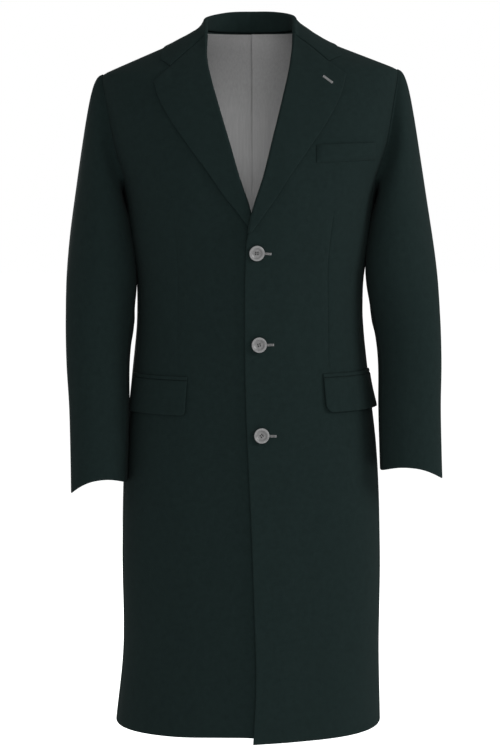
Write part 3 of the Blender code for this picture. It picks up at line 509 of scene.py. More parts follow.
def front_inner_x(side, z):
    """Where the shaped part of a front begins, towards its own side: front edge, then roll line."""
    rolled = roll_x(side, z) + ROLL_SETBACK
    if side == LEFT:
        edge = along(FRONT_EDGE, EDGE_COLUMNS, "edge_x", z)
    else:
        edge = np.full(np.shape(z), UNDERLAP_START_X)
        rolled = rolled + ROLL_SETBACK
    blend = ease((z - UNDERLAP_TOP_Z) / UNDERLAP_FADE)
    return edge * (1 - blend) + rolled * blend


def underlap(z):
    """Width of the strip of the right front that runs on under the left front."""
    below = 1 - ease((z - UNDERLAP_TOP_Z) / UNDERLAP_FADE)
    return ROLL_SETBACK + (UNDERLAP_X - ROLL_SETBACK) * below


def body_rows(side):
    """Shares of the way from hem to underarm, then heights from underarm to shoulder tip and neck."""
    tip = -SHOULDER_DROP[side]
    lower = steps(ARMHOLE_CORNER_Z - HEM_Z)
    rise = np.sin(np.linspace(0, np.pi / 2, ARMHOLE_ROWS))[1:]
    armhole = ARMHOLE_CORNER_Z + (tip - ARMHOLE_CORNER_Z) * rise
    shoulder = np.linspace(tip, 0.0, SHOULDER_ROWS)[1:]
    return lower[lower < 1 - EDGE_STEPS[-1]], np.concatenate([[ARMHOLE_CORNER_Z], armhole, shoulder])


def dart_lift(side, x, z):
    """The stitched line of the dart, in the soft hollow that it pulls into the front."""
    table = DARTS[side]
    from_dart = side * x - along(table, DART_COLUMNS, "dart_x", z)
    there = ease((table[-1][0] - z) / DART_FADE) * ease((z - table[0][0]) / DART_FADE)
    return -there * (bump_over(from_dart, DART_SEAM[side]) + bump_over(from_dart, DART_HOLLOW))


for side in (LEFT, RIGHT):
    across = steps(FRONT_WIDTH, inside=(DART_PLACE,))[None, :]
    if side == RIGHT:
        strip = steps(UNDERLAP_X)[None, :-1] - 1
        across = np.concatenate([strip, across[:, across[0] > JOIN_SKIP]], axis=1)
    share, heights = body_rows(side)
    hem = HEM_Z + FRONT_HEM_SHIFT[side] * np.clip(1 - across, 0, 1)
    lower = hem + (ARMHOLE_CORNER_Z - hem) * share[:, None]
    z = np.concatenate([lower, np.repeat(heights[:, None], across.shape[1], axis=1)])
    inner = front_inner_x(side, z) + underlap(z) * np.clip(across, -1, 0)
    start = degrees_at(side, side * inner, z)
    end = armhole_degrees(side, z, front_seam_degrees(z), -SEAM_LAP_DEG)
    dart_x = along(DARTS[side], DART_COLUMNS, "dart_x", z)
    dart_at = np.clip((degrees_at(side, side * dart_x, z) - start) / (end - start), *DART_PLACE_LIMITS)
    past = np.clip(across, 0, 1)
    before_dart = past * dart_at / DART_PLACE
    after_dart = dart_at + (past - DART_PLACE) * (1 - dart_at) / (1 - DART_PLACE)
    degrees = start + (end - start) * np.where(past < DART_PLACE, before_dart, after_dart)
    point = body_point(side, degrees, z)
    outward = body_outward(point)
    x = point[..., 0]
    lift = lap_lift(side, x, z) + dart_lift(side, x, z) + body_creases(side, degrees, z)
    if side == RIGHT:
        lift = lift - UNDER_EDGE_SINK * (1 - ease((side * x - UNDER_EDGE_X) / UNDER_EDGE_FADE))
    front = shell("front_cloth_" + WORD[side], raised(point, outward, lift), outward, CLOTH, wool,
                  ("last_column", "last_row"))
    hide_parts("front_" + WORD[side])


# Side bodies: the narrow panels under the arms, of the same wool. Each is sewn to a front and a back
# along its length, and its top edge is scooped out for the sleeve.
ARMHOLE_SCOOP = 0.025
SIDE_WIDTH = 0.140

for side in (LEFT, RIGHT):
    across = steps(SIDE_WIDTH)[None, :]
    top = ARMHOLE_CORNER_Z - ARMHOLE_SCOOP * (1 - (2 * across - 1) ** 2)
    z = HEM_Z + (top - HEM_Z) * steps(ARMHOLE_CORNER_Z - HEM_Z)[:, None]
    start = front_seam_degrees(z) - SEAM_LAP_DEG
    end = BACK_SEAM_DEG + SEAM_LAP_DEG
    degrees = start + (end - start) * across
    point = body_point(side, degrees, z)
    outward = body_outward(point)
    point = raised(point, outward, body_creases(side, degrees, z))
    side_body = shell("side_cloth_" + WORD[side], point, outward, CLOTH, wool,
                      ("first_column", "last_column", "last_row"))
    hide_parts("side_" + WORD[side])


# Backs: two long panels of the same wool, sewn together down the middle as far as the top of the vent.
# From there the left back laps over a strip that runs on from the right one, and both hang free.
VENT_TOP_Z = -0.640
VENT_SLANT = 0.040
VENT_UNDERLAP = 0.040
VENT_RECESS_X = 0.002
VENT_RECESS_FADE = 0.030
VENT_RECESS_RUN = 0.050
VENT_STEP_DOWN = 0.0032
BACK_WIDTH = 0.230

for side in (LEFT, RIGHT):
    across = steps(BACK_WIDTH)[None, :]
    share, heights = body_rows(side)
    heights = np.concatenate([HEM_Z + (ARMHOLE_CORNER_Z - HEM_Z) * share, heights])
    z = np.repeat(heights[:, None], across.shape[1], axis=1)
    inner_x = np.full(z.shape, -SEAM_LAP / 2)
    if side == RIGHT:
        inner_x = inner_x - VENT_UNDERLAP * ease((VENT_TOP_Z - z) / VENT_SLANT)
    start = 180.0 - degrees_at(side, side * inner_x, z)
    end = armhole_degrees(side, z, BACK_SEAM_DEG, -SEAM_LAP_DEG)
    degrees = start + (end - start) * across
    point = body_point(side, degrees, z)
    outward = body_outward(point)
    lift = body_creases(side, degrees, z)
    if side == RIGHT:
        under = 1 - ease((side * point[..., 0] - VENT_RECESS_X) / VENT_RECESS_FADE)
        lift = lift - VENT_STEP_DOWN * under * ease((VENT_TOP_Z - z) / VENT_RECESS_RUN + 1)
    back = shell("back_cloth_" + WORD[side], raised(point, outward, lift), outward, CLOTH, wool,
                 ("first_column", "last_column"))
    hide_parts("back_" + WORD[side])


# Back lining: two halves of plain grey satin, felled to the backs. The left half laps over the right
# one at a centre pleat that gives the back ease, and they part below it to clear the vent.
LINING_CLOTH = 0.0010
LINING_TOP_Z = -0.0020
LINING_TOP_DROOP = 0.0026
LINING_TUCK = 0.0036
LINING_TUCK_RUN = 0.020
LINING_BOTTOM_Z = -1.030
LINING_GAP = 0.0034
LINING_SIDE_DEG = 2.0
LINING_VENT_X = 0.045
LINING_VENT_RISE = 0.060
LINING_VENT_RUN = 0.050
LINING_LAP_STEP = 0.0042
PLEAT_X = 0.003
PLEAT_UNDERLAP = 0.014
PLEAT_FADE_X = 0.022
PLEAT_FADE = 0.030
PLEAT_SLIT = (0.0024, 0.0035)
LINING_WIDTH = 0.215
LINING_CREASES = (
    (LEFT, 170, -0.020, 166, -0.300, 0.010, -0.0010),
    (LEFT, 160, -0.040, 157, -0.360, 0.012, -0.0013),
    (RIGHT, 169, -0.030, 166, -0.280, 0.011, -0.0009),
    (RIGHT, 158, -0.020, 154, -0.340, 0.014, -0.0012),
)
SATIN_SURFACE = {"Roughness": 0.50, "Specular IOR Level": 0.20, "Anisotropic": 0.4}
SATIN_STRETCH = {"Scale": (1.0, 1.0, 0.04)}
SATIN_STREAKS = {"Scale": 420.0, "Detail": 3.0, "Roughness": 0.6}
SATIN_TONES = ((0.370, 0.370, 0.371), (0.425, 0.425, 0.426))
SATIN_TONES_AT = (0.3, 0.7)
# Painted shade: multiplies the satin's colour by height, darkest at the neck, standing in for the shade
# under the collar.
PAINTED_NECK_SHADE_BY_Z = {"From Min": 0.0, "From Max": -0.190, "To Min": 0.57, "To Max": 1.36}
SATIN_RELIEF = {"Strength": 0.15, "Distance": 0.0002}


def grey_satin():
    """Smooth lining satin: long floats run up and down, so it is streaked lengthwise.

    Painted shade: its colour is darkened towards the neck, where the collar stand shades it, and brought up
    to full tone lower down.
    """
    material, tree, shader = new_finish("grey_satin", SATIN_SURFACE)
    place = piece_place(tree)
    stretch = added(tree, "ShaderNodeMapping", SATIN_STRETCH)
    tree.links.new(place, stretch.inputs["Vector"])
    streaks = noise(tree, stretch.outputs["Vector"], SATIN_STREAKS)
    tone = two_tone(tree, streaks, SATIN_TONES, SATIN_TONES_AT)
    # Painted shade: the satin's colour is scaled by height, darker at the neck.
    height = tree.nodes.new("ShaderNodeSeparateXYZ")
    tree.links.new(place, height.inputs["Vector"])
    shade = added(tree, "ShaderNodeMapRange", PAINTED_NECK_SHADE_BY_Z)
    tree.links.new(height.outputs["Z"], shade.inputs["Value"])
    tree.links.new(multiplied(tree, tone, shade.outputs["Result"]), shader.inputs["Base Color"])
    roughened(tree, shader, streaks, SATIN_RELIEF)
    return material


satin = grey_satin()

for side in (LEFT, RIGHT):
    across = steps(LINING_WIDTH)[None, :]
    top = LINING_TOP_Z - LINING_TOP_DROOP * across ** 2
    z = LINING_BOTTOM_Z + (top - LINING_BOTTOM_Z) * steps(LINING_TOP_Z - LINING_BOTTOM_Z)[:, None]
    inner_x = np.full(z.shape, PLEAT_X if side == LEFT else -PLEAT_X - PLEAT_UNDERLAP)
    at_vent = ease((VENT_TOP_Z + LINING_VENT_RISE - z) / LINING_VENT_RUN)
    inner_x = inner_x + (LINING_VENT_X - inner_x) * at_vent
    start = 180.0 - degrees_at(side, side * inner_x, z)
    end = armhole_degrees(side, z, BACK_SEAM_DEG + LINING_SIDE_DEG, LINING_SIDE_DEG)
    degrees = start + (end - start) * across
    at_neck = ease((z - top) / LINING_TUCK_RUN + 1)
    point = body_point(side, degrees, np.minimum(z, LINING_TOP_Z))
    outward = unit(body_outward(point) * np.stack([1 + 0 * z, 1 + 0 * z, 1 - at_neck], axis=-1))
    point[..., 2] = z
    lift = body_creases(side, degrees, z) - CLOTH - LINING_GAP
    lift = lift * (1 - at_neck) - LINING_TUCK * at_neck
    lift = lift - crease_lift(LINING_CREASES, GIRTH_PER_DEGREE, side, degrees, z)
    if side == LEFT:
        lift = lift - LINING_LAP_STEP * (1 - ease((point[..., 0] - PLEAT_FADE_X) / PLEAT_FADE))
    else:
        lift = lift + bump_over(point[..., 0] - PLEAT_X, PLEAT_SLIT)
    lining = shell("lining_cloth_" + WORD[side], raised(point, outward, lift), outward, LINING_CLOTH,
                   satin)
    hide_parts("lining_" + WORD[side])


# Sleeves: each is a broad top panel and a narrow under panel of the same wool, sewn along the front and
# back of the arm and set into the armhole with a little fullness. The cuff is turned up inside.
SLEEVE_COLUMNS = ("height", "inner", "outer", "front", "back")
SLEEVE_SECTIONS = (
    (-0.720, 0.1912, 0.2725, -0.105, -0.013),
    (-0.640, 0.1885, 0.2737, -0.100, -0.006),
    (-0.575, 0.1870, 0.2757, -0.094, 0.004),
    (-0.510, 0.1870, 0.2802, -0.086, 0.019),
    (-0.440, 0.1810, 0.2820, -0.079, 0.036),
    (-0.385, 0.1765, 0.2815, -0.075, 0.049),
    (-0.340, 0.1800, 0.2780, -0.073, 0.057),
    (-0.300, 0.1868, 0.2738, -0.072, 0.062),
    (-0.150, 0.1960, 0.2525, -0.060, 0.068),
)
SLEEVE_SQUARENESS = 2.2
SLEEVE_SKEW = 0.18
SKEW_END_Z = -0.460
SKEW_FADE = 0.120
SLEEVE_CLEARANCE = 0.0014
SLEEVE_PRESS = 0.0012
SLEEVE_GIRTH = 0.330
SWING_OUTER = {LEFT: 0.0205, RIGHT: 0.0}
SWING_INNER = {LEFT: 0.0120, RIGHT: 0.0}
SWING_OUTER_TOP_Z = -0.240
SWING_OUTER_RUN = 0.450
SWING_INNER_TOP_Z = -0.300
SWING_INNER_RUN = 0.200
BICEPS_Z = -0.300
CAP_LENGTH = 0.200
CAP_LAST_SHARE = 0.98
CAP_PRESS_SHARE = 0.7
CAP_CREASE_SHARE = 0.5
ARM_LENGTH = 0.400
ARMHOLE_SAMPLES = 160
SCOOP_SAMPLES = 80
LEAST_NORMAL = 1e-12
TURNED_IN = (0.0040, 0.0026, 0.0012)
CAP_LEAVE = 0.0125
CAP_LEAVE_CROWN = 0.0060
CAP_LEAVE_FRONT = 0.008
CAP_REACH = 0.085
CAP_REACH_CROWN = 0.065
CAP_FORWARD = 0.25
CAP_DROP = 0.20
CAP_DROP_CROWN = 0.14
FORE_SEAM = 0.43
HIND_SEAM = 0.70
CUFF_OUTER_Z = {LEFT: -0.6852, RIGHT: -0.7080}
CUFF_FRONT_Z = {LEFT: -0.6650, RIGHT: -0.6840}
CUFF_INNER_Z = {LEFT: -0.6725, RIGHT: -0.6905}
SLEEVE_PANELS = {"top_sleeve": (HIND_SEAM, 1.0 + FORE_SEAM), "under_sleeve": (FORE_SEAM, HIND_SEAM)}
SLEEVE_CREASES = (
    (LEFT, 0.36, -0.412, 0.56, -0.446, 0.011, 0.0016),
    (LEFT, 0.40, -0.462, 0.60, -0.438, 0.010, 0.0013),
    (LEFT, 0.70, -0.470, 0.92, -0.440, 0.015, 0.0026),
    (LEFT, 0.72, -0.520, 0.90, -0.548, 0.014, 0.0022),
    (LEFT, 0.66, -0.250, 0.86, -0.340, 0.019, 0.0026),
    (RIGHT, 0.38, -0.424, 0.58, -0.458, 0.012, 0.0017),
    (RIGHT, 0.42, -0.478, 0.60, -0.450, 0.010, 0.0012),
    (RIGHT, 0.70, -0.450, 0.90, -0.486, 0.015, 0.0027),
    (RIGHT, 0.74, -0.540, 0.92, -0.514, 0.013, 0.0021),
    (RIGHT, 0.64, -0.240, 0.84, -0.330, 0.020, 0.0028),
)


def clear_of_body(point, least, amount):
    """Presses points that come closer to the body form than least softly out of its way."""
    steep = np.linalg.norm(body_slope(point), axis=-1)
    lack = least - (body_level(point) - 1) / steep
    push = amount * (lack + np.sqrt(lack ** 2 + SLEEVE_PRESS ** 2)) / 2
    return raised(point, body_outward(point), push)


def armhole_half(side, seam_degrees, part):
    """Edge of the armhole from the shoulder tip down to the underarm, at the given part of its length."""
    z = np.linspace(-SHOULDER_DROP[side], ARMHOLE_CORNER_Z, ARMHOLE_SAMPLES)
    edge = body_point(side, armhole_degrees(side, z, seam_degrees, 0.0), z)
    toward = np.linspace(1.0, 0.0, SCOOP_SAMPLES)[1:]
    middle = (FRONT_SEAM_TOP_DEG + BACK_SEAM_DEG) / 2
    scoop = ARMHOLE_CORNER_Z - ARMHOLE_SCOOP * (1 - toward ** 2)
    under = body_point(side, middle + (seam_degrees - middle) * toward, scoop)
    line = np.concatenate([edge, under])
    gone = np.concatenate([[0.0], np.cumsum(np.linalg.norm(np.diff(line, axis=0), axis=1))])
    found = [np.interp(part * gone[-1], gone, line[:, axis]) for axis in range(3)]
    return np.stack(found, axis=-1)


def armhole(side, turn):
    """Armhole edge: turn 0 is the shoulder tip, 0.25 the front, 0.5 the underarm, 0.75 the back."""
    turn = np.mod(turn, 1.0)
    ahead = armhole_half(side, FRONT_SEAM_TOP_DEG, np.clip(turn * 2, 0, 1))
    behind = armhole_half(side, BACK_SEAM_DEG, np.clip(2 - turn * 2, 0, 1))
    return np.where((turn <= 0.5)[..., None], ahead, behind)


def tube(side, turn, z):
    """Sleeve below the armhole: level rings, turned in ahead of the chest and swung out on the left."""
    columns = SLEEVE_COLUMNS[1:]
    inner, outer, front_y, back_y = (along(SLEEVE_SECTIONS, SLEEVE_COLUMNS, name, z) for name in columns)
    inner = inner + SWING_INNER[side] * ease((SWING_INNER_TOP_Z - z) / SWING_INNER_RUN)
    outer = outer + SWING_OUTER[side] * np.clip((SWING_OUTER_TOP_Z - z) / SWING_OUTER_RUN, 0, None)
    cosine = signed_power(np.cos(2 * np.pi * turn), 2 / SLEEVE_SQUARENESS)
    sine = signed_power(np.sin(2 * np.pi * turn), 2 / SLEEVE_SQUARENESS)
    forward = -(back_y - front_y) / 2 * sine
    skew = SLEEVE_SKEW * ease((z - SKEW_END_Z) / SKEW_FADE)
    x = (inner + outer) / 2 + (outer - inner) / 2 * cosine + skew * forward
    y = (front_y + back_y) / 2 + forward
    return np.stack(np.broadcast_arrays(side * x, y, z), axis=-1)


def cuff_z(side, turn):
    """The cuff is longest at the outer side and arched up in front and behind."""
    mean = (CUFF_OUTER_Z[side] + CUFF_INNER_Z[side]) / 2
    tilt = (CUFF_OUTER_Z[side] - CUFF_INNER_Z[side]) / 2
    arch = (mean - CUFF_FRONT_Z[side]) / 2
    return mean - arch + tilt * np.cos(2 * np.pi * turn) + arch * np.cos(4 * np.pi * turn)


def sleeve_point(side, turn, down):
    """Point of a sleeve: down 0 to 1 is the cap from armhole to biceps, 1 to 2 runs on to the cuff."""
    turn, down = np.broadcast_arrays(np.asarray(turn, float), np.asarray(down, float))
    cosine = np.cos(2 * np.pi * turn)
    sine = np.sin(2 * np.pi * turn)
    root = armhole(side, turn)
    leave = CAP_LEAVE + CAP_LEAVE_CROWN * cosine + CAP_LEAVE_FRONT * sine ** 2
    forward = -CAP_FORWARD * leave * sine
    down_first = -leave * (CAP_DROP - CAP_DROP_CROWN * cosine)
    away = np.stack([side * leave, forward, down_first], axis=-1)
    reach = CAP_REACH + CAP_REACH_CROWN * cosine
    level = BICEPS_Z + 0 * turn
    last = tube(side, turn, level)
    before = tube(side, turn, level + reach)
    t = np.clip(down, 0.0, 1.0)[..., None]
    near_root = (1 - t) ** 3 * root + 3 * t * (1 - t) ** 2 * (root + away)
    near_biceps = 3 * t * t * (1 - t) * before + t ** 3 * last
    z = BICEPS_Z + (cuff_z(side, turn) - BICEPS_Z) * np.clip(down - 1, 0, None)
    point = np.where((down <= 1.0)[..., None], near_root + near_biceps, tube(side, turn, z))
    return clear_of_body(point, SLEEVE_CLEARANCE, ease(down / CAP_PRESS_SHARE))


def grid_outward(points, sign):
    """Unit normals of a grid of points, turned to one side of it."""
    normal = np.cross(np.gradient(points, axis=1), np.gradient(points, axis=0)) * sign
    return normal / np.maximum(np.linalg.norm(normal, axis=-1, keepdims=True), LEAST_NORMAL)


for side in (LEFT, RIGHT):
    for panel, (first, last) in SLEEVE_PANELS.items():
        lap = SEAM_LAP / 2 / SLEEVE_GIRTH
        turn = first - lap + (last - first + 2 * lap) * steps((last - first) * SLEEVE_GIRTH)[None, :]
        cap = steps(CAP_LENGTH)
        arm = steps(ARM_LENGTH)
        down = np.concatenate([cap[cap < CAP_LAST_SHARE], 1 + arm[arm > JOIN_SKIP]])[:, None]
        point = sleeve_point(side, turn, down)
        place = np.mod(turn + 0 * down, 1.0)
        lift = crease_lift(SLEEVE_CREASES, SLEEVE_GIRTH, side, place, point[..., 2])
        lift = lift * ease(down / CAP_CREASE_SHARE) - bump_over(down * CAP_LENGTH, SEAM_DIP)
        point = raised(point, grid_outward(point, -side), lift)
        turned_in = np.array(TURNED_IN)[:, None, None] * body_outward(armhole(side, turn))
        point = np.concatenate([point[:1] - turned_in, point])
        outward = grid_outward(point, -side)
        sleeve = shell(panel + "_cloth_" + WORD[side], point, outward, CLOTH, wool,
                       ("first_column", "last_column"))
        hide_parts(panel + "_" + WORD[side])


# Collar and lapels: the collar is one band of the same wool on a firm canvas, which stands up round the
# neck, folds over and falls on the shoulders. The lapels are the facings of the fronts, turned out along
# a soft unpressed roll and sewn to the collar's ends along the gorge, as far as the notch.
COLLAR_CLOTH = 0.0024
COLLAR_COLUMNS = ("station", "seam_x", "seam_y", "seam_z", "fold_x", "fold_y", "fold_z", "edge_x", "edge_y")
COLLAR_STATIONS = (
    (0.00, 0.0000, 0.0775, 0.0006, 0.0000, 0.0800, 0.0345, 0.0000, 0.0945),
    (0.25, 0.0360, 0.0680, 0.0006, 0.0355, 0.0705, 0.0338, 0.0560, 0.0860),
    (0.45, 0.0590, 0.0440, 0.0006, 0.0570, 0.0460, 0.0290, 0.1000, 0.0620),
    (0.65, 0.0668, 0.0140, 0.0006, 0.0645, 0.0150, 0.0210, 0.1230, 0.0200),
    (0.82, 0.0640, -0.0090, -0.0030, 0.0640, -0.0085, 0.0070, 0.1340, -0.0100),
    (1.00, 0.0638, -0.0255, -0.0105, 0.0637, -0.0250, -0.0060, 0.1390, -0.0330),
)
COLLAR_ROLL = 0.0038
COLLAR_LIFT = 0.0034
COLLAR_LIFT_RATE = 3.0
COLLAR_END_POWER = 6
COLLAR_EDGE_FLAT = 0.5
COLLAR_EDGE_FROM = 0.5
COLLAR_TIP = {LEFT: (0.1390, -0.0425), RIGHT: (0.1357, -0.0490)}
COLLAR_SPRING = {LEFT: 2.5, RIGHT: 5.4}
COLLAR_SAG = {LEFT: 0.0012, RIGHT: 0.0040}
NOTCH_PLACE = 0.68
NOTCH_GAP = 0.0009
COLLAR_HALF_LENGTH = 0.200
STAND_HEIGHT = 0.032
FALL_WIDTH = 0.055
COLLAR_STEP = CLOTH_STEP / 1.4
FINE_STEP = CLOTH_STEP / 1.6
FOLD_ROWS = 15
EDGE_ROWS = len(EDGE_STEPS) - 1
TOP_SEARCH_Z = (-0.200, 0.020)
TOP_SEARCH_HALVINGS = 30
UP = np.array([0.0, 0.0, 1.0])

LAPEL_CLOTH = 0.0024
LAPEL_COLUMNS = ("height", "edge_x")
LAPEL_BREAK_Z = {LEFT: -0.3100, RIGHT: -0.3030}
LAPEL_FOOT = {
    LEFT: ((-0.3070, 0.0020), (-0.2955, 0.0110), (-0.2800, 0.0218), (-0.2600, 0.0360)),
    RIGHT: ((-0.3000, 0.0020), (-0.2890, 0.0110), (-0.2750, 0.0218), (-0.2580, 0.0360)),
}
LAPEL_EDGE = (
    (-0.2220, 0.0605),
    (-0.1800, 0.0900),
    (-0.1470, 0.1120),
    (-0.1000, 0.1360),
    (-0.0700, 0.1445),
)
LAPEL_TIP_Z = {LEFT: -0.0725, RIGHT: -0.0835}
GORGE_Z = -0.0155
LAPEL_LIFT = 0.0042
LAPEL_ROLL_RISE = 0.0016
LAPEL_ROLL_FROM_BREAK = 0.25
LAPEL_ROLL_RADIUS = 0.0038
LAPEL_ROLL_MOST = 0.6
LAPEL_ROLL_PROBE = 0.01
LAPEL_ROLL_TURNS = 14
LAPEL_WIDTH = 0.080
LAPEL_LENGTH = 0.290
GORGE_BLEND_FROM = 0.86
GORGE_BLEND_PAST = 0.10


def collar_at(station, name):
    """One measure of the collar, read between its stations."""
    return along(COLLAR_STATIONS, COLLAR_COLUMNS, name, np.abs(station))


def collar_thinning(fall):
    """The fall of the collar thins towards its outer edge, which is pressed flat."""
    return 1 - COLLAR_EDGE_FLAT * ease((fall - COLLAR_EDGE_FROM) / (1 - COLLAR_EDGE_FROM))


def lapel_top(side, place):
    """Spot on the line of gorge and lapel top, from roll line to tip: x towards the side, and z."""
    start_x = roll_x(side, GORGE_Z)
    x = start_x + (LAPEL_EDGE[-1][1] - start_x) * place
    return x, GORGE_Z + (LAPEL_TIP_Z[side] - GORGE_Z) * place


def top_of_body(x, y):
    """Height of the shoulders and neck of the body form above a spot in plan."""
    low = np.full(np.shape(x), TOP_SEARCH_Z[0])
    high = np.full(np.shape(x), TOP_SEARCH_Z[1])
    for _ in range(TOP_SEARCH_HALVINGS):
        middle = (low + high) / 2
        inside = body_level(np.stack([x, y, middle], axis=-1)) < 1
        low = np.where(inside, middle, low)
        high = np.where(inside, high, middle)
    return (low + high) / 2


def collar_point(side, station, across):
    """Half of the collar. across 0 to 1 is the stand, 1 to 2 the fold, 2 to 3 the fall."""
    station, across = np.broadcast_arrays(np.asarray(station, float), np.asarray(across, float))
    mirror = np.array([side, 1.0, 1.0])
    seam = np.stack([collar_at(station, "seam_" + axis) for axis in "xyz"], axis=-1) * mirror
    fold = np.stack([collar_at(station, "fold_" + axis) for axis in "xyz"], axis=-1) * mirror
    fold[..., 2] -= COLLAR_SAG[side] * np.sin(np.pi * station) ** 2
    edge = np.stack([collar_at(station, "edge_" + axis) for axis in "xy"], axis=-1) * mirror[:2]
    notch_x, notch_z = lapel_top(side, NOTCH_PLACE)
    notch = on_front(side * notch_x, notch_z + NOTCH_GAP, 0.0)[:2]
    tip = on_front(np.array(side * COLLAR_TIP[side][0]), np.array(COLLAR_TIP[side][1]), 0.0)[:2]
    end = (station ** COLLAR_END_POWER)[..., None]
    last_edge = np.array(COLLAR_STATIONS[-1][-2:]) * mirror[:2]
    edge = edge + end * (tip - last_edge)
    out = unit(edge + end * (notch - tip) - fold[..., :2])
    out = np.concatenate([out, np.zeros(out.shape[:-1] + (1,))], axis=-1)
    spring = fold - UP * COLLAR_ROLL
    stand = seam + (spring - seam) * np.clip(across, 0, 1)[..., None]
    bend = np.pi * np.clip(across - 1, 0, 1)[..., None]
    rolled = spring + COLLAR_ROLL * (out * (1 - np.cos(bend)) + UP * np.sin(bend))
    landing = spring + 2 * COLLAR_ROLL * out
    ground = landing[..., :2]
    fall = np.clip(across - 2, 0, 1)[..., None]
    straight = ground + (tip - ground) * fall
    before = ground + (notch - ground) * fall / NOTCH_PLACE
    after = notch + (tip - notch) * (fall - NOTCH_PLACE) / (1 - NOTCH_PLACE)
    gorge = np.where(fall < NOTCH_PLACE, before, after)
    plan = ground + (edge - ground) * fall + end * (gorge - straight)
    foot = top_of_body(ground[..., 0], ground[..., 1])
    rest = top_of_body(plan[..., 0], plan[..., 1])
    flat = np.concatenate([plan, rest[..., None]], axis=-1)
    flat = flat + body_outward(flat) * COLLAR_LIFT * ease(fall * COLLAR_LIFT_RATE) * collar_thinning(fall)
    drop = (landing[..., 2] - foot) * (1 - fall[..., 0]) ** COLLAR_SPRING[side]
    fallen = flat + UP * drop[..., None]
    return np.where((across <= 1)[..., None], stand, np.where((across <= 2)[..., None], rolled, fallen))


station = steps(COLLAR_HALF_LENGTH, COLLAR_STEP)[None, EDGE_ROWS:]
station = np.concatenate([[[0.0]], station], axis=1)
stand = steps(STAND_HEIGHT, COLLAR_STEP)[:-EDGE_ROWS]
fall = steps(FALL_WIDTH, FINE_STEP, inside=(NOTCH_PLACE,))[EDGE_ROWS:]
across = np.concatenate([stand, np.linspace(1.0, 2.0, FOLD_ROWS), 2 + fall])[:, None]
halves = [collar_point(side, station, across) for side in (RIGHT, LEFT)]
point = np.concatenate([halves[0][:, :0:-1], halves[1]], axis=1)
thick = COLLAR_CLOTH * collar_thinning(across - 2)
collar = shell("collar_cloth", point, grid_outward(point, 1.0), thick, wool,
               ("first_row", "first_column", "last_column"))
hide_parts("collar")


def lapel_point(side, across, rise):
    """across 0 is the roll line, 1 the outer edge; rise 0 is the break, 1 the gorge and top edge."""
    across, rise = np.broadcast_arrays(np.asarray(across, float), np.asarray(rise, float))
    roll_z = LAPEL_BREAK_Z[side] + (GORGE_Z - LAPEL_BREAK_Z[side]) * rise
    edge_table = LAPEL_FOOT[side] + LAPEL_EDGE
    edge_low = edge_table[0][0]
    edge_z = edge_low + (LAPEL_TIP_Z[side] - edge_low) * rise
    tip_shift = LAPEL_TIP_Z[side] - LAPEL_EDGE[-1][0]
    table_z = edge_z - tip_shift * rise ** 3
    inner_x = roll_x(side, roll_z)
    outer_x = along(edge_table, LAPEL_COLUMNS, "edge_x", table_z)
    x = inner_x + (outer_x - inner_x) * across
    z = roll_z + (edge_z - roll_z) * across
    lift = LAPEL_LIFT + LAPEL_ROLL_RISE * (1 - across) ** 3 * ease(rise / LAPEL_ROLL_FROM_BREAK)
    return on_front(side * x, z, lift + lap_lift(side, side * x, z))


for side in (LEFT, RIGHT):
    rise = steps(LAPEL_LENGTH, FINE_STEP)[:, None]
    width = np.linalg.norm(lapel_point(side, 1.0, rise) - lapel_point(side, 0.0, rise), axis=-1)
    from_roll = np.minimum(LAPEL_ROLL_RADIUS / width, LAPEL_ROLL_MOST)
    share = steps(LAPEL_WIDTH, FINE_STEP)[None, EDGE_ROWS:]
    across = from_roll + (1 - from_roll) * share
    flat = lapel_point(side, across, rise + 0 * across)
    flat_outward = body_outward(flat)
    crown = lapel_point(side, from_roll, rise)
    out = body_outward(crown)
    toward = lapel_point(side, from_roll - LAPEL_ROLL_PROBE, rise) - crown
    toward = unit(toward - out * (toward * out).sum(axis=-1, keepdims=True))
    bend = np.linspace(np.pi, 0.0, LAPEL_ROLL_TURNS)[None, :, None]
    centre = crown - out * LAPEL_ROLL_RADIUS
    roll_outward = out * np.cos(bend) + toward * np.sin(bend)
    roll = centre + LAPEL_ROLL_RADIUS * roll_outward
    point = np.concatenate([roll, flat], axis=1)
    outward = np.concatenate([roll_outward, flat_outward], axis=1)
    top = across[-1]
    gorge = NOTCH_PLACE * np.clip((top - top[0]) / (NOTCH_PLACE - top[0]), 0, 1)
    gorge = collar_point(side, 1.0, np.concatenate([np.linspace(1.0, 2.0, LAPEL_ROLL_TURNS), 2 + gorge]))
    pull = gorge - point[-1]
    past_notch = LAPEL_ROLL_TURNS + np.searchsorted(top, NOTCH_PLACE)
    pull[past_notch:] = pull[past_notch - 1]
    pull[LAPEL_ROLL_TURNS:] *= 1 - ease((top - NOTCH_PLACE) / GORGE_BLEND_PAST)[:, None]
    near_gorge = ease((rise - GORGE_BLEND_FROM) / (1 - GORGE_BLEND_FROM))[..., None]
    point = point + pull * near_gorge
    outward = unit(outward * (1 - near_gorge) + grid_outward(point, side) * near_gorge)
    lapel = shell("lapel_cloth_" + WORD[side], point, outward, LAPEL_CLOTH, wool, ("last_row",))
    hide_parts("lapel_" + WORD[side])


# Breast pocket welt: a folded strip of the same wool on the left chest. Its lower edge and both ends
# are sewn down flat, and the fold along its top stays open over the pocket mouth.
WELT_INNER_X = 0.0985
WELT_OUTER_X = 0.1890
WELT_TOP_Z = -0.1790
WELT_SLOPE = 0.055
WELT_HEIGHT = 0.0265
WELT_SEWN_LIFT = 0.0013
WELT_OPEN_LIFT = 0.0023
WELT_FLAT = 0.007
TRIM_STEP = CLOTH_STEP / 2

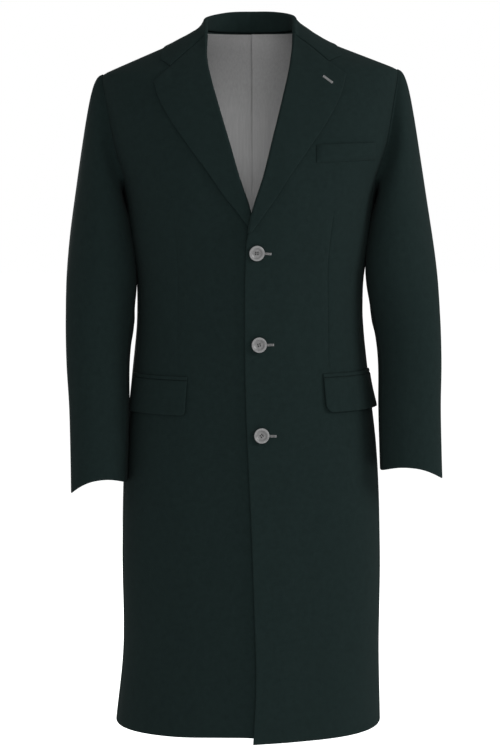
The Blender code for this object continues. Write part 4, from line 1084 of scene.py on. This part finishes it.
share = steps(WELT_OUTER_X - WELT_INNER_X, TRIM_STEP)[None, :]
down = steps(WELT_HEIGHT, TRIM_STEP)[:, None]
x = WELT_INNER_X + (WELT_OUTER_X - WELT_INNER_X) * share + 0 * down
z = WELT_TOP_Z + WELT_SLOPE * (x - WELT_INNER_X) - WELT_HEIGHT * down
from_ends = np.minimum(x - WELT_INNER_X, WELT_OUTER_X - x)
open_part = ease((1 - down) * WELT_HEIGHT / WELT_FLAT) * ease(from_ends / WELT_FLAT)
base = on_front(x, z, 0 * z)
lift = WELT_SEWN_LIFT + WELT_OPEN_LIFT * open_part
outward = body_outward(base)
welt = shell("breast_welt_cloth", raised(base, outward, lift), outward, CLOTH, wool)
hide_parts("breast_welt")


# Pocket flaps and jets: each hip pocket has a lined wool flap with rounded lower corners, hanging from a
# narrow folded jet that binds the upper edge of the pocket mouth. Both are sewn into the front.
FLAP_CLOTH = 0.0028
LAYER_GAP = 0.0008
FLAP_TOP_Z = {LEFT: -0.5260, RIGHT: -0.5300}
FLAP_HEIGHT = 0.0530
FLAP_FROM_DEG = {LEFT: 33.0, RIGHT: 27.0}
FLAP_TO_DEG = {LEFT: 86.0, RIGHT: 74.0}
FLAP_CORNER = {LEFT: 0.0120, RIGHT: 0.0070}
FLAP_WIDTH = 0.150
FLAP_CORNER_MOST = 0.07
FLAP_STAND_OFF = {LEFT: 0.0050, RIGHT: 0.0015}
FLAP_SWING_POWER = 1.5
FLAP_SWING_FRONT = 0.3
JET_HEIGHT = 0.0060
JET_STEP = JET_HEIGHT / 4

for side in (LEFT, RIGHT):
    across = steps(FLAP_WIDTH, FINE_STEP)[None, :]
    down = steps(FLAP_HEIGHT, TRIM_STEP)[:, None]
    corner = np.clip(1 - (1 - down) * FLAP_HEIGHT / FLAP_CORNER[side], 0, 1)
    pull = FLAP_CORNER[side] * (1 - np.sqrt(1 - corner ** 2)) / FLAP_WIDTH
    pull = np.minimum(pull, FLAP_CORNER_MOST)
    span = FLAP_TO_DEG[side] - FLAP_FROM_DEG[side]
    degrees = FLAP_FROM_DEG[side] + span * (pull + (1 - 2 * pull) * across)
    z = FLAP_TOP_Z[side] - FLAP_HEIGHT * down + 0 * across
    point = body_point(side, degrees, z)
    outward = body_outward(point)
    stand_off = FLAP_STAND_OFF[side] * down ** FLAP_SWING_POWER
    stand_off = stand_off * (FLAP_SWING_FRONT + (1 - FLAP_SWING_FRONT) * across)
    lift = FLAP_CLOTH + LAYER_GAP + stand_off + body_creases(side, degrees, z)
    flap = shell("flap_cloth_" + WORD[side], raised(point, outward, lift), outward, FLAP_CLOTH,
                 wool, ("first_row",))
    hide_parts("flap_" + WORD[side])
    jet_down = steps(JET_HEIGHT, JET_STEP)[:, None]
    degrees = FLAP_FROM_DEG[side] + span * across + 0 * jet_down
    z = FLAP_TOP_Z[side] + JET_HEIGHT * (1 - jet_down) + 0 * across
    point = body_point(side, degrees, z)
    outward = body_outward(point)
    lift = CLOTH + LAYER_GAP + body_creases(side, degrees, z)
    jet = shell("jet_cloth_" + WORD[side], raised(point, outward, lift), outward, CLOTH, wool,
                ("first_row",))
    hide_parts("jet_" + WORD[side])


# Buttons: three grey dished buttons of horn-look resin with a broad rim. Each is sewn to the right front
# through four holes, on a short wound shank of thread that leaves room for the left front.
BUTTON_SPOTS = ((0.0095, -0.3380), (0.0129, -0.4756), (0.0167, -0.6111))
BUTTON_TURNS_DEG = (0.0, 14.0, 40.0)
BUTTON_RADIUS = 0.0115
BUTTON_THICK = 0.0042
BUTTON_DISH = 0.0017
BUTTON_RIM = 0.0022
BUTTON_SEGMENTS = 64
BUTTON_TILT_STEP = 0.004
BUTTON_SHARP_DEG = 40.0
DISH_FLAT_RADIUS = 0.0055
DISH_RADIUS = 0.0088
DISH_ROWS = 9
RIM_FLATNESS = 2.6
RIM_BEND = (0.75 * np.pi, -0.35 * np.pi)
RIM_ROWS = 12
FOOT_RISE = 0.0003
FOOT_INSET = 1.6
THREAD_HOLE_RADIUS = 0.0010
THREAD_HOLE_SPREAD = 0.0016
THREAD_HOLE_SIDES = 20
THREAD_RADIUS = 0.00034
THREAD_SIDES = 6
STITCH_RISE = 0.0004
STITCH_SINK = 0.0040
STITCH_FLAT = 0.75
STITCH_SAMPLES = 15
SHANK_RADIUS = 0.0024
SHANK_LENGTH = 0.0010
SHANK_SIDES = 24
NEARLY_UPRIGHT = 0.9
SPECK_COLUMNS = ("dark", "pale", "per_metre", "roughness", "gloss", "relief")
RESIN_SPECKS = ((0.061, 0.061, 0.062), (0.099, 0.099, 0.099), 220.0, 0.42, 0.45, 0.00005)
# A lighter copy of the resin for the rim's top: a painted highlight where the rim catches the light.
RIM_HIGHLIGHT_SPECKS = ((0.084, 0.084, 0.085), (0.134, 0.134, 0.134), 220.0, 0.35, 0.45, 0.00003)
SEWING_SPECKS = ((0.012, 0.014, 0.014), (0.020, 0.022, 0.022), 2600.0, 0.85, 0.10, 0.0001)
SPECK_TONES_AT = (0.3, 0.7)
SPECK_DETAIL = 4.0
SPECK_ROUGHNESS = 0.6
SPECK_RELIEF_STRENGTH = 0.3


def mottled(name, row):
    """Two-tone speckled finish."""
    values = dict(zip(SPECK_COLUMNS, row))
    surface = {"Roughness": values["roughness"], "Specular IOR Level": values["gloss"]}
    grain = {"Scale": values["per_metre"], "Detail": SPECK_DETAIL, "Roughness": SPECK_ROUGHNESS}
    relief = {"Strength": SPECK_RELIEF_STRENGTH, "Distance": values["relief"]}
    material, tree, shader = new_finish(name, surface)
    specks = noise(tree, piece_place(tree), grain)
    tone = two_tone(tree, specks, (values["dark"], values["pale"]), SPECK_TONES_AT)
    tree.links.new(tone, shader.inputs["Base Color"])
    roughened(tree, shader, specks, relief)
    return material


resin = mottled("horn_resin", RESIN_SPECKS)
rim_resin_painted_highlight = mottled("horn_resin_rim_painted_highlight", RIM_HIGHLIGHT_SPECKS)
sewing_thread = mottled("dark_thread", SEWING_SPECKS)


def cord_mesh(path, radius):
    """Points and faces of a round thread along a path, closed at both ends."""
    path = np.asarray(path, float)
    run = unit(np.gradient(path, axis=0))
    guide = UP if abs(run[0, 2]) < NEARLY_UPRIGHT else np.array([1.0, 0.0, 0.0])
    aside = unit(np.cross(run, guide))
    over = np.cross(run, aside)
    angle = (np.arange(THREAD_SIDES) * 2 * np.pi / THREAD_SIDES)[None, :, None]
    ring = aside[:, None, :] * np.cos(angle) + over[:, None, :] * np.sin(angle)
    points = (path[:, None, :] + radius * ring).reshape(-1, 3)
    faces = []
    for row in range(len(path) - 1):
        here = row * THREAD_SIDES
        there = here + THREAD_SIDES
        for i in range(THREAD_SIDES):
            j = (i + 1) % THREAD_SIDES
            faces.append((here + i, here + j, there + j, there + i))
    faces.append(tuple(range(THREAD_SIDES - 1, -1, -1)))
    faces.append(tuple(len(points) - THREAD_SIDES + i for i in range(THREAD_SIDES)))
    return points, faces


def joined(name, parts, finish):
    """One piece from many small meshes."""
    points, faces, count = [], [], 0
    for part_points, part_faces in parts:
        points.append(part_points)
        faces += [tuple(i + count for i in one) for one in part_faces]
        count += len(part_points)
    return piece(name, np.concatenate(points), faces, finish)


def left_front_lift(x, z):
    """How far the outside of the left front stands out of the body form."""
    return lap_lift(LEFT, x, z)


def over_left_front(x, z, lift):
    """Point that stands off the left front by lift, and the direction out of the cloth there."""

    def cloth(x, z):
        return on_front(x, z, left_front_lift(x, z))

    across = cloth(x + BUTTON_TILT_STEP, z) - cloth(x - BUTTON_TILT_STEP, z)
    upward = cloth(x, z + BUTTON_TILT_STEP) - cloth(x, z - BUTTON_TILT_STEP)
    axis = unit(np.cross(across, upward))
    return cloth(x, z) + axis * lift, axis


def button_profile():
    """Radius and height from the middle of the dish, over the rim and round to the middle underneath."""
    profile = [(0.0, BUTTON_THICK - BUTTON_DISH)]
    for t in np.linspace(0, 1, DISH_ROWS):
        radius = DISH_FLAT_RADIUS + (DISH_RADIUS - DISH_FLAT_RADIUS) * t
        profile.append((radius, BUTTON_THICK - BUTTON_DISH * (1 - ease(t))))
    wide = BUTTON_RIM / 2
    high = BUTTON_RIM / RIM_FLATNESS
    for bend in np.linspace(*RIM_BEND, RIM_ROWS):
        radius = BUTTON_RADIUS - wide + wide * np.cos(bend)
        profile.append((radius, BUTTON_THICK - high + high * np.sin(bend)))
    profile.append((BUTTON_RADIUS - BUTTON_RIM, FOOT_RISE))
    profile.append((BUTTON_RADIUS - FOOT_INSET * BUTTON_RIM, 0.0))
    profile.append((0.0, 0.0))
    return profile


def turned(profile, seat, aside, upward, axis, segments):
    """Points and faces of a turned solid on its seat, from a profile that runs from the top downwards."""
    angle = np.arange(segments) * 2 * np.pi / segments
    points, faces, rings = [], [], []
    for radius, height in profile:
        count = 1 if radius == 0.0 else segments
        rings.append(range(len(points), len(points) + count))
        for a in angle[:count]:
            points.append(seat + axis * height + radius * (aside * np.cos(a) + upward * np.sin(a)))
    for near, far in zip(rings, rings[1:]):
        for i in range(segments):
            j = (i + 1) % segments
            corners = (near[i % len(near)], near[j % len(near)], far[j % len(far)], far[i % len(far)])
            faces.append(tuple(dict.fromkeys(corners)))
    return np.array(points), [one[::-1] for one in faces]


def pierced(item, seat, aside, upward, axis):
    """Cuts the four thread holes through a button, and gives the top of its rim a lighter copy of the
    resin: a painted highlight.
    """
    holes = bmesh.new()
    stance = Matrix([aside, upward, axis]).transposed().to_4x4()
    for x in (-THREAD_HOLE_SPREAD, THREAD_HOLE_SPREAD):
        for y in (-THREAD_HOLE_SPREAD, THREAD_HOLE_SPREAD):
            middle = Vector(seat + aside * x + upward * y)
            bmesh.ops.create_cone(holes, cap_ends=True, segments=THREAD_HOLE_SIDES, depth=4 * BUTTON_THICK,
                                  radius1=THREAD_HOLE_RADIUS, radius2=THREAD_HOLE_RADIUS,
                                  matrix=Matrix.Translation(middle) @ stance)
    data = bpy.data.meshes.new("hole_cutter")
    holes.to_mesh(data)
    holes.free()
    cutter = bpy.data.objects.new("hole_cutter", data)
    bpy.context.scene.collection.objects.link(cutter)
    cut = item.modifiers.new("holes", "BOOLEAN")
    cut.operation = "DIFFERENCE"
    cut.object = cutter
    made = bpy.data.meshes.new_from_object(item.evaluated_get(bpy.context.evaluated_depsgraph_get()))
    item.modifiers.clear()
    item.data = made
    bpy.data.objects.remove(cutter)
    made.shade_smooth()
    made.set_sharp_from_angle(angle=np.radians(BUTTON_SHARP_DEG))
    made.materials.append(rim_resin_painted_highlight)
    # Painted highlight: faces on top of the rim take the lighter copy of the resin.
    for face in made.polygons:
        away = np.array(face.center) - seat
        height = away @ axis
        if np.linalg.norm(away - height * axis) > DISH_RADIUS and height > BUTTON_THICK / 2:
            face.material_index = 1


for number, ((x, z), turn_deg) in enumerate(zip(BUTTON_SPOTS, BUTTON_TURNS_DEG), start=1):
    seat, axis = over_left_front(np.array(x), np.array(z), LAYER_GAP)
    level = unit(np.cross(UP, axis))
    turn = np.radians(turn_deg)
    aside = level * np.cos(turn) + np.cross(axis, level) * np.sin(turn)
    upward = np.cross(axis, aside)
    points, faces = turned(button_profile(), seat, aside, upward, axis, BUTTON_SEGMENTS)
    button = piece("horn_button_" + str(number), points, faces, resin)
    pierced(button, seat, aside, upward, axis)
    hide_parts("button_" + str(number))
    stitches = []
    for across in (-THREAD_HOLE_SPREAD, THREAD_HOLE_SPREAD):
        path = []
        for t in np.linspace(-1, 1, STITCH_SAMPLES):
            in_hole = ease((abs(t) - STITCH_FLAT) / (1 - STITCH_FLAT))
            height = BUTTON_THICK - BUTTON_DISH + STITCH_RISE - STITCH_SINK * in_hole
            reach = THREAD_HOLE_SPREAD * min(1.0, abs(t) / STITCH_FLAT) * np.sign(t)
            path.append(seat + aside * across + upward * reach + axis * height)
        stitches.append(cord_mesh(path, THREAD_RADIUS))
    shank = [(0.0, 0.0), (SHANK_RADIUS, 0.0), (SHANK_RADIUS, -SHANK_LENGTH), (0.0, -SHANK_LENGTH)]
    stitches.append(turned(shank, seat, aside, upward, axis, SHANK_SIDES))
    joined("button_thread_" + str(number), stitches, sewing_thread)


# Buttonholes: slits in the left front and the left lapel, worked over by hand with grey silk twist.
# Short stitches lie side by side along both lips, and a bar closes the outer end.
HOLE_WIDTH = 0.0031
HOLE_PITCH = 0.00055
HOLE_BAR = 0.0017
HOLE_TWIST = 0.00034
HOLE_RISE = 0.0006
HOLE_STITCH_ACROSS = (0.06, 0.3, 0.65, 1.0)
HOLE_STITCH_HEIGHTS = (0.1, 1.0, 0.7, -0.1)
BAR_SAMPLES = 7
BAR_CROWN = 1.2
BAR_DROP = 1.4
BAR_POWER = 4
TWIST_SPECKS = ((0.116, 0.116, 0.116), (0.180, 0.180, 0.180), 2600.0, 0.85, 0.10, 0.0001)
FRONT_HOLE_ENDS = ((0.0311, -0.3398), (0.0350, -0.4757), (0.0389, -0.6122))
LAPEL_HOLE = ((0.1091, -0.0775), (0.1223, -0.0874))

twist = mottled("grey_thread", TWIST_SPECKS)


def worked_hole(name, start, end, lift_at):
    """Buttonhole from start to end, given as x and z on the front, on cloth that stands out by lift_at."""
    start = np.array(start)
    run = np.array(end) - start
    length = np.linalg.norm(run)
    run = run / length
    across = np.array([-run[1], run[0]])
    stitches = []

    def strand(points, heights):
        spots = np.array(points)
        base = on_front(spots[:, 0], spots[:, 1], lift_at(spots[:, 0], spots[:, 1]) + np.array(heights))
        stitches.append(cord_mesh(base, HOLE_TWIST))

    lips = np.array(HOLE_STITCH_ACROSS) * HOLE_WIDTH / 2
    heights = np.array(HOLE_STITCH_HEIGHTS) * HOLE_RISE
    for gone in np.arange(0.0, length, HOLE_PITCH):
        for lip in (-1.0, 1.0):
            strand([start + run * gone + across * lip * reach for reach in lips], heights)
    along_bar = np.linspace(-1, 1, BAR_SAMPLES)
    rise = HOLE_RISE * (BAR_CROWN - np.abs(along_bar) ** BAR_POWER * BAR_DROP)
    for gone in (length - HOLE_PITCH, length - 2 * HOLE_PITCH, length):
        strand([start + run * gone + across * reach for reach in along_bar * HOLE_BAR], rise)
    return joined(name, stitches, twist)


def left_lapel_lift(x, z):
    """How far the outside of the left lapel stands out of the body form."""
    return LAPEL_LIFT + lap_lift(LEFT, x, z)


for number, (spot, hole_end) in enumerate(zip(BUTTON_SPOTS, FRONT_HOLE_ENDS), start=1):
    worked_hole("buttonhole_" + str(number), spot, hole_end, left_front_lift)
worked_hole("lapel_buttonhole", LAPEL_HOLE[0], LAPEL_HOLE[1], left_lapel_lift)


# Studio: a plain white floor well below the hem, an even white surround, and three broad soft lamps. The
# key lamp is out on the wearer's left, so that side is a little paler. The fill lamp is above the camera,
# and the third lamp lights the back.
FLOOR_Z = HEM_Z - 0.45
FLOOR_HALF = 30.0
FLOOR_CORNERS = ((-1, -1), (1, -1), (1, 1), (-1, 1))
WHITE = (1.0, 1.0, 1.0, 1.0)
FLOOR_SURFACE = {"Base Color": (0.95, 0.95, 0.95, 1.0), "Roughness": 1.0, "Specular IOR Level": 0.0,
                 "Emission Color": WHITE, "Emission Strength": 0.08}
SURROUND = {"Color": WHITE, "Strength": 1.0}
LAMP_COLUMNS = ("name", "place", "size", "watts")
LAMPS = (
    ("key_lamp", (4.1, -1.3, 1.0), 1.5, 165.0),
    ("fill_lamp", (0.4, -3.5, 0.2), 1.6, 33.0),
    ("back_lamp", (-1.6, 4.2, 0.2), 1.6, 110.0),
)
LAMP_AIM = (0.0, 0.0, -0.40)
CAMERA_PLACE = (0.0, -3.2, -0.252)
CAMERA_TILT_DOWN = 5.0
FOCAL_PIXELS = 2064.0
PICTURE_HEIGHT = 750.0
SENSOR = 36.0

floor_mesh = bpy.data.meshes.new("floor")
corners = [(x * FLOOR_HALF, y * FLOOR_HALF, FLOOR_Z) for x, y in FLOOR_CORNERS]
floor_mesh.from_pydata(corners, [], [(0, 1, 2, 3)])
floor_mesh.materials.append(new_finish("white_floor", FLOOR_SURFACE)[0])
floor = bpy.data.objects.new("floor", floor_mesh)
bpy.context.scene.collection.objects.link(floor)

world = bpy.data.worlds.new("surround")
world.use_nodes = True
set_inputs(world.node_tree.nodes["Background"], SURROUND)
bpy.context.scene.world = world

for row in LAMPS:
    values = dict(zip(LAMP_COLUMNS, row))
    lamp_data = bpy.data.lights.new(values["name"], "AREA")
    lamp_data.energy = values["watts"]
    lamp_data.size = values["size"]
    lamp = bpy.data.objects.new(values["name"], lamp_data)
    lamp.location = values["place"]
    lamp.rotation_mode = "QUATERNION"
    lamp.rotation_quaternion = (Vector(LAMP_AIM) - Vector(values["place"])).to_track_quat("-Z", "Y")
    bpy.context.scene.collection.objects.link(lamp)

camera_data = bpy.data.cameras.new("camera")
camera_data.sensor_width = SENSOR
camera_data.lens = SENSOR * FOCAL_PIXELS / PICTURE_HEIGHT
camera = bpy.data.objects.new("camera", camera_data)
camera.location = CAMERA_PLACE
camera.rotation_euler = (np.radians(90.0 - CAMERA_TILT_DOWN), 0.0, 0.0)
bpy.context.scene.collection.objects.link(camera)
bpy.context.scene.camera = camera
bpy.context.scene.view_settings.view_transform = "Standard"
